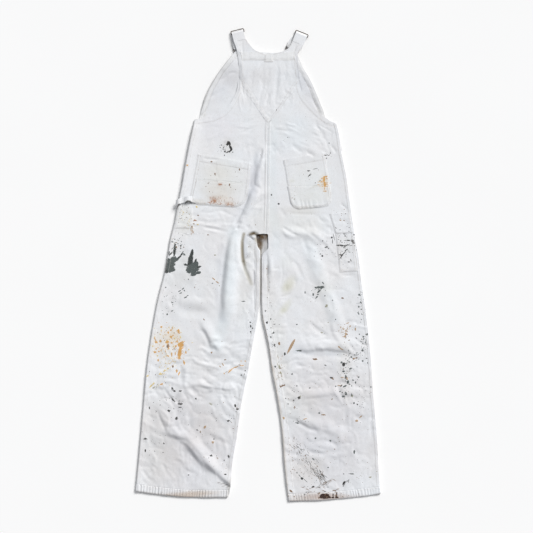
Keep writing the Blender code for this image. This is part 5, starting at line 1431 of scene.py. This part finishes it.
class Nodes:
    """Short ways to place and join nodes in one tree."""

    def __init__(self, tree):
        self.tree = tree

    def add(self, kind, ins=None, **settings):
        node = self.tree.nodes.new(kind)
        for key, value in settings.items():
            setattr(node, key, value)
        for key, value in (ins or {}).items():
            if isinstance(value, bpy.types.NodeSocket):
                self.tree.links.new(value, node.inputs[key])
            else:
                node.inputs[key].default_value = value
        return node

    def math(self, operation, a, b=0.0, clamp=False):
        return self.add("ShaderNodeMath", {0: a, 1: b}, operation=operation, use_clamp=clamp).outputs[0]

    def mix(self, factor, a, b, blend="MIX"):
        ins = {0: factor, 6: a, 7: b}
        return self.add("ShaderNodeMix", ins, data_type="RGBA", blend_type=blend).outputs[2]

    def ramp(self, value, low, high, to_low=0.0, to_high=1.0):
        ins = {"Value": value, "From Min": low, "From Max": high, "To Min": to_low, "To Max": to_high}
        return self.add("ShaderNodeMapRange", ins, interpolation_type="SMOOTHSTEP").outputs[0]

    def noise(self, place, scale, detail=2.0, rough=0.5):
        ins = {"Vector": place, "Scale": scale, "Detail": detail, "Roughness": rough}
        return self.add("ShaderNodeTexNoise", ins).outputs["Fac"]

    def place(self):
        return self.add("ShaderNodeTexCoord").outputs["Object"]

    def join(self, output, into):
        self.tree.links.new(output, into)

    def relief(self, shader, height, strength, distance):
        bump = self.add("ShaderNodeBump", {"Height": height, "Strength": strength, "Distance": distance})
        self.join(bump.outputs[0], shader.inputs["Normal"])


def new_material(name):
    """A new material, its nodes, and its shader."""
    material = bpy.data.materials.new(name)
    material.use_nodes = True
    return material, Nodes(material.node_tree), material.node_tree.nodes["Principled BSDF"]


def group(name, inputs, outputs):
    """A new shader node group with named sockets, and the nodes of its two ends."""
    tree = bpy.data.node_groups.new(name, "ShaderNodeTree")
    for label, kind, value in inputs:
        socket = tree.interface.new_socket(label, in_out="INPUT", socket_type=kind)
        socket.default_value = value
    for label, kind in outputs:
        tree.interface.new_socket(label, in_out="OUTPUT", socket_type=kind)
    nodes = Nodes(tree)
    return nodes, nodes.add("NodeGroupInput").outputs, nodes.add("NodeGroupOutput")


def drill_weave():
    """Twill: diagonal ribs of warp with thick and thin threads, its height, and a painted shade that is darker
    where it is low.
    """
    nodes, given, out = group(
        "drill_weave", [("Ribs per Metre", "NodeSocketFloat", 900.0)],
        [("Height", "NodeSocketFloat"), ("Shade", "NodeSocketFloat")],
    )
    place = nodes.place()
    ribs = nodes.add(
        "ShaderNodeTexWave",
        {"Vector": nodes.add("ShaderNodeMapping", {"Vector": place, "Rotation": (0, 0, 1.1)}).outputs[0],
         "Scale": nodes.math("MULTIPLY", given["Ribs per Metre"], 0.314), "Distortion": 0.6, "Detail": 1.0},
        wave_type="BANDS", bands_direction="X", wave_profile="SIN",
    ).outputs["Fac"]
    slubs = nodes.add("ShaderNodeMapping", {"Vector": place, "Scale": (1500, 140, 300)}).outputs[0]
    threads = nodes.noise(slubs, 1.0, 2.0)
    cross = nodes.add("ShaderNodeMapping", {"Vector": place, "Scale": (120, 1300, 300)}).outputs[0]
    picks = nodes.noise(cross, 1.0, 2.0)
    yarn = nodes.math("ADD", nodes.math("MULTIPLY", threads, 0.6), nodes.math("MULTIPLY", picks, 0.4))
    height = nodes.math("ADD", nodes.math("MULTIPLY", ribs, 0.45), nodes.math("MULTIPLY", yarn, 0.55))
    nodes.join(height, out.inputs["Height"])
    nodes.join(nodes.ramp(height, 0.3, 0.7), out.inputs["Shade"])
    return nodes.tree


def wash_mottle():
    """Uneven fading from many washes: broad clouds and small worn flecks."""
    nodes, given, out = group(
        "wash_mottle", [("Cloud Size", "NodeSocketFloat", 7.0)],
        [("Clouds", "NodeSocketFloat"), ("Wear", "NodeSocketFloat")],
    )
    place = nodes.place()
    clouds = nodes.noise(place, given["Cloud Size"], 5.0, 0.6)
    wear = nodes.noise(place, 160.0, 3.0, 0.65)
    nodes.join(nodes.ramp(clouds, 0.3, 0.72), out.inputs["Clouds"])
    nodes.join(nodes.ramp(wear, 0.5, 0.75), out.inputs["Wear"])
    return nodes.tree


def paint_layer():
    """The paint, the stains and the painted shade on cloth, from what each point of the cloth carries."""
    nodes, given, out = group(
        "paint_layer", [("Cloth", "NodeSocketColor", (0.8, 0.8, 0.8, 1))],
        [("Colour", "NodeSocketColor"), ("Paint", "NodeSocketFloat")],
    )
    place = nodes.place()
    # The second attribute below carries stains and painted shade, which blotchy noise breaks up.
    stain_and_shade = nodes.add("ShaderNodeAttribute", attribute_name="stain_and_shade")
    paint = nodes.add("ShaderNodeAttribute", attribute_name="paint")
    blotches = nodes.ramp(nodes.noise(place, 90.0, 4.0, 0.7), 0.25, 0.7, 0.80, 1.12)
    stain_and_shade_amount = nodes.math("MULTIPLY", stain_and_shade.outputs["Alpha"], blotches, clamp=True)
    colour = nodes.mix(stain_and_shade_amount, given["Cloth"], stain_and_shade.outputs["Color"], "MULTIPLY")
    ragged = nodes.noise(place, 330.0, 3.0, 0.6)
    fray = nodes.math("MULTIPLY", nodes.math("SUBTRACT", ragged, 0.5), 0.5)
    edge = nodes.math("ADD", paint.outputs["Alpha"], fray)
    cover = nodes.ramp(edge, 0.47, 0.55)
    worn = nodes.ramp(nodes.noise(place, 520.0, 2.0, 0.6), 0.60, 0.72)
    cover = nodes.math("SUBTRACT", cover, nodes.math("MULTIPLY", worn, 0.35), clamp=True)
    colour = nodes.mix(cover, colour, paint.outputs["Color"])
    nodes.join(colour, out.inputs["Colour"])
    nodes.join(cover, out.inputs["Paint"])
    return nodes.tree


def cloth_material(name, base, shadow, worn, groups):
    """Cotton drill: its weave, its wash, and the paint, stains and painted shade on it."""
    material, nodes, shader = new_material(name)
    weave = nodes.add("ShaderNodeGroup", node_tree=groups["weave"])
    wash = nodes.add("ShaderNodeGroup", node_tree=groups["wash"])
    colour = nodes.mix(wash.outputs["Clouds"], (*base, 1), (*shadow, 1))
    colour = nodes.mix(nodes.math("MULTIPLY", wash.outputs["Wear"], 0.42), colour, (*worn, 1))
    # The weave's Shade darkens the colour where the weave is low: painted shade in its grooves, with thread
    # tone.
    threads = nodes.ramp(weave.outputs["Shade"], 0, 1, 0.94, 1.02)
    weave_shade_grey = nodes.add("ShaderNodeCombineColor", {0: threads, 1: threads, 2: threads}).outputs[0]
    colour = nodes.mix(1.0, colour, weave_shade_grey, "MULTIPLY")
    layer = nodes.add("ShaderNodeGroup", {"Cloth": colour}, node_tree=groups["paint"])
    nodes.join(layer.outputs["Colour"], shader.inputs["Base Color"])
    rough = nodes.ramp(layer.outputs["Paint"], 0, 1, 0.93, 0.55)
    nodes.join(rough, shader.inputs["Roughness"])
    shader.inputs["Specular IOR Level"].default_value = 0.25
    shader.inputs["Sheen Weight"].default_value = 0.08
    shader.inputs["Sheen Roughness"].default_value = 0.6
    filled = nodes.ramp(layer.outputs["Paint"], 0, 1, 1, 0.35)
    woven = nodes.math("MULTIPLY", weave.outputs["Height"], filled)
    painted = nodes.math("MULTIPLY", layer.outputs["Paint"], 0.8)
    nodes.relief(shader, nodes.math("ADD", woven, painted), 0.35, 0.0005)
    return material


def paint_material(name, colour):
    """Dried house paint: slightly glossy, uneven and chalky in places."""
    material, nodes, shader = new_material(name)
    place = nodes.place()
    chalk = nodes.ramp(nodes.noise(place, 420.0, 3.0, 0.6), 0.5, 0.75)
    pale = tuple(c + (0.6 - c) * 0.22 for c in colour)
    nodes.join(nodes.mix(chalk, (*colour, 1), (*pale, 1)), shader.inputs["Base Color"])
    nodes.join(nodes.ramp(chalk, 0, 1, 0.45, 0.75), shader.inputs["Roughness"])
    nodes.relief(shader, nodes.noise(place, 900.0, 2.0), 0.3, 0.0003)
    return material


def thread_material():
    """Cotton sewing thread, a little yellower than the drill."""
    material, nodes, shader = new_material("sewing_thread")
    place = nodes.place()
    age = nodes.ramp(nodes.noise(place, 40.0, 3.0), 0.35, 0.7)
    nodes.join(nodes.mix(age, (0.76, 0.73, 0.69, 1), (0.60, 0.55, 0.50, 1)), shader.inputs["Base Color"])
    shader.inputs["Roughness"].default_value = 0.8
    ins = {"Vector": place, "Scale": 900.0}
    twist = nodes.add("ShaderNodeTexWave", ins, wave_type="BANDS", bands_direction="DIAGONAL")
    nodes.relief(shader, twist.outputs["Fac"], 0.4, 0.0002)
    return material


def brass_material():
    """Old brass, nearly black, with rust-brown patches."""
    material, nodes, shader = new_material("aged_brass")
    place = nodes.place()
    tarnish = nodes.ramp(nodes.noise(place, 260.0, 4.0, 0.6), 0.4, 0.65)
    colour = nodes.mix(tarnish, (0.035, 0.03, 0.027, 1), (0.13, 0.085, 0.055, 1))
    nodes.join(colour, shader.inputs["Base Color"])
    nodes.join(nodes.ramp(tarnish, 0, 1, 0.4, 0.7), shader.inputs["Roughness"])
    nodes.join(nodes.ramp(tarnish, 0, 1, 0.85, 0.45), shader.inputs["Metallic"])
    nodes.relief(shader, nodes.noise(place, 700.0, 3.0), 0.4, 0.0003)
    return material


# ---------------------------------------------------------------- stitches


def surface_of(skins, below=False):
    """A tree of skins of cloth for rays from above. From below they are turned over first."""
    points = np.concatenate([skin for skin, _ in skins]) * MM * (1, 1, -1 if below else 1)
    starts = np.cumsum([0] + [len(skin) for skin, _ in skins])
    faces = np.concatenate([quads + start for (_, quads), start in zip(skins, starts)])
    return BVHTree.FromPolygons(points.tolist(), faces.tolist())


def on_top(tree, x, y, down_from=0.06):
    """The height of the uppermost cloth at a point in millimetres, or None off the cloth."""
    hit = tree.ray_cast(Vector((x * MM, y * MM, down_from)), Vector((0, 0, -1)))
    return None if hit[0] is None else hit[0].z / MM


def offset_line(points, inwards, steps):
    """A line beside another, moved to its left by a distance, as evenly spaced points."""
    return moved_left(along(points, steps), inwards)


def stitch_lines(sides):
    """The seams that are sewn through, as lines of (x, y) points."""
    lines = []
    for key, side in sides.items():
        sign = 1 if side["left"] else -1
        levels = np.linspace(side["hem"] + LEG_HEM + 3, 415, 60)
        outer = through(side["outline"], levels)
        for inwards in (2.6, 11.0) if side["left"] else (2.6, 9.0):
            lines.append(np.stack([outer + sign * inwards, levels], -1))
        edge = INSIDE_LEFT if side["left"] else INSIDE_RIGHT
        levels = np.linspace(side["hem"] + LEG_HEM - 10, 20, 60)
        for inwards in (2.8, 10.0) if side["left"] else (2.8, 18.6):
            lines.append(np.stack([through(edge, levels) - sign * inwards, levels], -1))
        hole = side["armhole"] if side["left"] else side["armhole"][::-1]
        lines.append(offset_line(hole, -12.6, 60))
        level = side["hem"] + np.array([18.5])
        (a, b), sag = leg_line(side, level, lambda low, edge=edge: through(edge, low))
        f = np.linspace(0.02, 0.98, 60)[:, None]
        row = a[0] + f * (b[0] - a[0])
        row[:, 1] -= (sag[0] * 4 * f * (1 - f))[:, 0]
        lines.append(row)
    centre = np.linspace(98, 408, 50)
    for aside in (-5.6, 5.6):
        lines.append(np.stack([through(CENTRE_BACK, centre) + aside, centre], -1))
    for column, sign in ((1, -1), (2, 1)):
        for inwards in (2.2, 8.4):
            lines.append(offset_line(pairs(YOKE_SEAM, column, 0), sign * inwards, 40))
    for column, sign in ((1, 1), (2, -1)):
        levels = np.linspace(552, 620, 20)
        lines.append(np.stack([through(YOKE_SIDES, levels, column) + sign * 11, levels], -1))
    lines.append(offset_line(pairs(ARM_LEFT, 0, 1), -11, 12))
    lines.append(offset_line(pairs(ARM_RIGHT, 2, 3), 11, 12))
    lines.append(offset_line(pairs(ARM_LEFT, 2, 3), 2.4, 24))
    lines.append(offset_line(pairs(ARM_RIGHT, 0, 1), -2.4, 24))
    lines.append(np.stack([np.linspace(-45, 104, 40), np.full(40, 604.4)], -1))
    lines.append(np.stack([np.linspace(17, 42, 8), np.full(8, 617.4)], -1))
    for corners, rows in (
        (POCKET_LEFT, (2.4, 8.4)), (POCKET_RIGHT, (2.4, 8.4)), (PATCH_LEFT, (2.4,)), (PATCH_RIGHT, (2.4,)),
        (TOOL_LEFT, (2.4,)), (TOOL_RIGHT_UPPER, (2.4,)), (TOOL_RIGHT_LOWER, (2.4, 8.0)), (TAB, (2.2,)),
    ):
        for inwards in rows:
            lines.append(round_three_sides(corners, inwards))
    for corners, down in ((POCKET_LEFT, 19.5), (POCKET_RIGHT, 19.5), (PATCH_LEFT, 2.6), (PATCH_RIGHT, 2.6)):
        (ax, ay, _), (bx, by, _), (cx, cy, _), (dx, dy, _) = corners
        g = down / math.dist((ax, ay), (dx, dy))
        ends = [(ax + (dx - ax) * g, ay + (dy - ay) * g), (bx + (cx - bx) * g, by + (cy - by) * g)]
        lines.append(along(ends, 20)[1:-1])
    return lines + bib_hem_lines()


def bib_hem_lines():
    """The lines that hold the bib's two side hems."""
    hemmed = [row for row in BIB if row[1] > BIB_HEMS_FROM]
    sides_of_bib = ((pairs(hemmed, 0, 1), -1), (pairs(hemmed, 2, 3), 1))
    return [offset_line(edge, sign * (BIB_SIDE_HEM - 2), 40) for edge, sign in sides_of_bib]


def front_stitch_lines(sides):
    """The seams of the side that lies below: the legs, the middle, the waist and the bib."""
    lines = []
    for side in sides.values():
        sign = 1 if side["left"] else -1
        levels = np.linspace(side["hem"] + LEG_HEM + 3, 330, 60)
        for inwards in (4.5, 11.0):
            lines.append(np.stack([through(side["outline"], levels) + sign * inwards, levels], -1))
        edge = INSIDE_LEFT if side["left"] else INSIDE_RIGHT
        levels = np.linspace(side["hem"] + LEG_HEM + 3, 20, 60)
        for inwards in (4.5, 11.0):
            lines.append(np.stack([through(edge, levels) - sign * inwards, levels], -1))
        lines.append(np.array([(CENTRE_FRONT + sign * 5, 60), (CENTRE_FRONT + sign * 5, 328)]))
        start = np.array((through(side["outline"], 330) + sign * 12, 330))
        lines.append(np.array([start, (CENTRE_FRONT, 330)]))
        lines.append(np.array([start + (0, 10), (CENTRE_FRONT, 340)]))
    lines += bib_hem_lines()
    (x0, y0, x1, y1), down = BIB[-1], BIB_TOP_HEM - 2
    lines.append(np.array([(x0 + 4, y0 - down), (x1 - 4, y1 - down)]))
    return lines


def round_three_sides(corners, inwards):
    """A line inside the two sides and the rounded foot of a sewn piece."""
    (ax, ay, _), (bx, by, _), (cx, cy, right), (dx, dy, left) = corners
    points = [np.array(p, float) for p in ((ax, ay), (dx, dy), (cx, cy), (bx, by))]
    line = [points[0]]
    for (before, here, after), radius in ((points[:3], left), (points[1:], right)):
        to_last, to_next = before - here, after - here
        to_last, to_next = to_last / np.linalg.norm(to_last), to_next / np.linalg.norm(to_next)
        start = max(radius, 0.5)
        for t in (0, 0.25, 0.5, 0.75, 1.0):
            line.append(here + to_last * start * (1 - t) ** 2 + to_next * start * t**2)
    line.append(points[3])
    line = np.array(line)
    run = run_along(line)
    places = np.linspace(1.5, run[-1] - 1.5, 140)
    dense = np.stack([np.interp(places, run, line[:, k]) for k in (0, 1)], -1)
    return moved_left(dense, inwards)


STITCH_PITCH, STITCH_LONG, THREAD = 3.3, 2.5, 0.42
STITCH_HEAVED = 2.0  # a stitch whose ends differ more than this in height is left out


def laid_on(name, points, faces, material, below):
    """A piece made on top of the cloth, or turned over onto the side that lies below."""
    points = np.array(points) * MM * (1, 1, -1 if below else 1)
    mesh = bpy.data.meshes.new(name)
    mesh.from_pydata(points.tolist(), [], [face[::-1] if below else face for face in faces])
    mesh.shade_smooth()
    shown(name + ("_below" if below else ""), mesh, material)


def stitches(lines, tree, material, below=False):
    """All the stitches on one side, as short raised lozenges of thread that follow the cloth."""
    draw = np.random.default_rng(7)
    points, quads = [], []
    for line in lines:
        run = run_along(line)
        for start in np.arange(0.5, run[-1] - STITCH_LONG, STITCH_PITCH):
            places = (start, start + STITCH_LONG)
            ends = [[np.interp(place, run, line[:, k]) for k in (0, 1)] for place in places]
            ends = np.array(ends) + draw.normal(0, 0.12, (2, 2))
            heights = [on_top(tree, *end) for end in ends]
            if None in heights or abs(heights[0] - heights[1]) > STITCH_HEAVED:
                continue
            a, b = (np.array((*end, z)) for end, z in zip(ends, heights))
            way = (b - a) / np.linalg.norm(b - a)
            aside = np.cross((0, 0, 1), way)
            up = np.cross(way, aside)
            count = len(points)
            for f, fat in ((0, 0.35), (0.3, 1.0), (0.7, 1.0), (1, 0.35)):
                middle = a + (b - a) * f + up * (0.05 + 0.1 * fat - (0.12 if below else 0))
                for s, t in ((-1, -0.4), (1, -0.4), (0, 1)):
                    points.append(middle + aside * s * THREAD * fat + up * t * THREAD * 0.7 * fat)
            for first in (count, count + 3, count + 6):
                for k in range(3):
                    after = (k + 1) % 3
                    quads.append((first + k, first + after, first + 3 + after, first + 3 + k))
            quads.append((count + 2, count + 1, count))
            quads.append((count + 9, count + 10, count + 11))
    laid_on("stitching", points, quads, material, below)


# ---------------------------------------------------------------- flecks of paint

FLECK_THICK = 0.14  # how far a fleck of dried paint stands off the cloth
FLECK_RINGS = ((0.0, 1.0), (0.6, 0.95), (0.93, 0.7), (1.0, -0.3))  # share of the size, share of the thickness


def splashes():
    """Every fleck by its paint: those listed and the fine drops of each spray."""
    draw = np.random.default_rng(19)
    spots = {paint: list(rows) for paint, rows in FLECKS.items()}
    for x, y, across, along_leg, count, size, names in SPRAYS:
        names = names.split()
        for _ in range(count):
            dx, dy = draw.normal(0, 0.55, 2)
            big = 0.8 * size * draw.uniform(0.5, 1.1) * (1 + 1.2 * (draw.random() < 0.08))
            row = (x + dx * across, y + dy * along_leg, big * draw.uniform(1, 2.2), big, draw.uniform(0, 180))
            spots[names[draw.integers(len(names))]].append(row)
    for x, y, run, across, turn, count, length, width, names in STROKES:
        names = names.split()
        c, s = math.cos(math.radians(turn)), math.sin(math.radians(turn))
        for _ in range(count):
            u, v = run * draw.uniform(-0.9, 0.9), across * draw.normal(0, 0.6)
            size = draw.uniform(0.4, 1.2)
            spot = (x + u * c - v * s, y + u * s + v * c)
            row = (*spot, length * size, width * size**0.4, turn + draw.normal(0, 14))
            spots[names[draw.integers(len(names))]].append(row)
    return spots


def flecks(paint, spots, tree, material, below=False):
    """Thin domed patches of dried paint with uneven edges, which follow the cloth below them."""
    draw = np.random.default_rng(len(spots))
    points, quads = [], []
    for x, y, half_long, half_wide, turn in spots:
        corners = 8 if half_long < 2.6 else 14
        angle = np.arange(corners) * 2 * math.pi / corners + draw.uniform(0, 1)
        ragged = 0.12 if half_long < 2.6 else 0.26
        radius = 1 + ragged * draw.normal(0, 1, corners)
        radius = np.clip(radius, 0.5, 1.45)
        c, s = math.cos(math.radians(turn)), math.sin(math.radians(turn))
        u, v = 0.88 * half_long * radius * np.cos(angle), 0.88 * half_wide * radius * np.sin(angle)
        dx, dy = u * c - v * s, u * s + v * c
        middle = on_top(tree, x, y)
        if middle is None:
            continue
        first = len(points)
        fallen = False
        for share, rise in FLECK_RINGS[1:]:
            for k in range(corners):
                z = on_top(tree, x + dx[k] * share, y + dy[k] * share)
                if z is None or abs(z - middle) > 3.5:
                    fallen = True
                    z = middle
                points.append((x + dx[k] * share, y + dy[k] * share, z + FLECK_THICK * rise))
        if fallen:
            del points[first:]
            continue
        top, base = len(points), len(points) + 1
        points.append((x, y, middle + FLECK_THICK))
        points.append((x, y, middle - FLECK_THICK))
        for k in range(corners):
            after = (k + 1) % corners
            quads.append((top, first + k, first + after))
            for ring in (first, first + corners):
                quads.append((ring + k, ring + corners + k, ring + corners + after, ring + after))
            quads.append((base, first + 2 * corners + after, first + 2 * corners + k))
    laid_on("paint_" + paint, points, quads, material, below)


# ---------------------------------------------------------------- the room, the camera and the lamps


CAMERA_ASIDE, CAMERA_HEIGHT = (0.0246, -0.0055), 3.71  # metres from the middle of the overalls
LENS, SENSOR = 85, 36  # millimetres
LAMP_WAY, LAMP_ENERGY, LAMP_ANGLE = (0.9, 1.15, 1.0), 3.44, 22
FLOOR_HALF, FLOOR_LEVEL = 6.0, -0.0003  # metres


def room(box):
    """A plain pale floor, soft lamps, and a camera straight above."""
    low, high = box
    middle = (low + high) / 2
    camera = bpy.data.objects.new("camera", bpy.data.cameras.new("camera"))
    camera.data.lens = LENS
    camera.data.sensor_width = SENSOR
    camera.location = (middle.x + CAMERA_ASIDE[0], middle.y + CAMERA_ASIDE[1], CAMERA_HEIGHT)
    bpy.context.scene.collection.objects.link(camera)
    bpy.context.scene.camera = camera

    lamp = bpy.data.objects.new("softbox", bpy.data.lights.new("softbox", "SUN"))
    lamp.data.energy = LAMP_ENERGY
    lamp.data.angle = math.radians(LAMP_ANGLE)
    lamp.rotation_euler = Vector(LAMP_WAY).to_track_quat("Z", "Y").to_euler()
    bpy.context.scene.collection.objects.link(lamp)

    world = bpy.data.worlds.new("studio")
    bpy.context.scene.world = world
    world.use_nodes = True
    nodes = Nodes(world.node_tree)
    sky = world.node_tree.nodes["Background"]
    sky.inputs["Color"].default_value = (0.37, 0.38, 0.40, 1)
    white = nodes.add("ShaderNodeBackground", {"Color": (0.955, 0.955, 0.955, 1), "Strength": 1.0})
    ray = nodes.add("ShaderNodeLightPath")
    seen = nodes.math("MAXIMUM", ray.outputs["Is Camera Ray"], ray.outputs["Is Glossy Ray"])
    seen = nodes.math("MAXIMUM", seen, ray.outputs["Is Transmission Ray"])
    both = nodes.add("ShaderNodeMixShader", {0: seen, 1: sky.outputs[0], 2: white.outputs[0]})
    nodes.join(both.outputs[0], world.node_tree.nodes["World Output"].inputs["Surface"])

    data = bpy.data.meshes.new("floor")
    ways = ((-1, -1), (1, -1), (1, 1), (-1, 1))
    data.from_pydata([(x * FLOOR_HALF, y * FLOOR_HALF, FLOOR_LEVEL) for x, y in ways], [], [(0, 1, 2, 3)])
    floor = bpy.data.objects.new("floor", data)
    bpy.context.scene.collection.objects.link(floor)
    material, nodes, shader = new_material("floor_paper")
    grain = nodes.ramp(nodes.noise(nodes.place(), 3.0, 2.0), 0.3, 0.7)
    colour = nodes.mix(grain, (0.957, 0.949, 0.934, 1), (0.963, 0.955, 0.94, 1))
    nodes.join(colour, shader.inputs["Base Color"])
    shader.inputs["Roughness"].default_value = 0.95
    shader.inputs["Specular IOR Level"].default_value = 0.0
    data.materials.append(material)

    view = bpy.context.scene.view_settings
    view.view_transform = "Standard"


# ---------------------------------------------------------------- the whole

room(cad_box)
groups = {"weave": drill_weave(), "wash": wash_mottle(), "paint": paint_layer()}
DRILL = cloth_material("white_drill", (0.805, 0.822, 0.842), (0.795, 0.785, 0.785), (0.67, 0.66, 0.65), groups)
CREAM = cloth_material("cream_drill", (0.81, 0.815, 0.82), (0.785, 0.78, 0.77), (0.70, 0.69, 0.67), groups)
BRASS = brass_material()
THREAD_COTTON = thread_material()

sides = {
    "left": dict(left=True, outline=SIDE_LEFT, armhole=ARMHOLE_LEFT, hem=-666, slant=18, sag=8),
    "right": dict(left=False, outline=SIDE_RIGHT, armhole=ARMHOLE_RIGHT, hem=-674, slant=22, sag=5),
}
for key, side in sides.items():
    back_panel("back_" + key, side, DRILL)
    front_panel("front_" + key, side, DRILL)
    leg_hem("leg_hem_" + key, side, DRILL)
    strap(key, DRILL, **STRAPS[key])
yoke(DRILL, CREAM)
bib(DRILL, CREAM)
sewn_pieces(sides, DRILL, CREAM)
hammer_loop(DRILL, panel_top(sides["left"]))
for key in sides:
    for node in ("strap_slide_", "buckle_", "button_"):
        metal = frame["nodes"][node + key]
        metal.data.materials.clear()
        metal.data.materials.append(BRASS)

top_tree, under_tree = surface_of(skins), surface_of(undersides, below=True)
stitches(stitch_lines(sides), top_tree, THREAD_COTTON)
stitches(front_stitch_lines(sides), under_tree, THREAD_COTTON, below=True)
for paint, spots in splashes().items():
    dried = paint_material("dried_" + paint, PAINTS[paint])
    flecks(paint, spots, top_tree, dried)
    turned = [(BELOW_X - x, BELOW_Y - y, *size, turn) for x, y, *size, turn in spots[::2]]
    flecks(paint, turned, under_tree, dried, below=True)
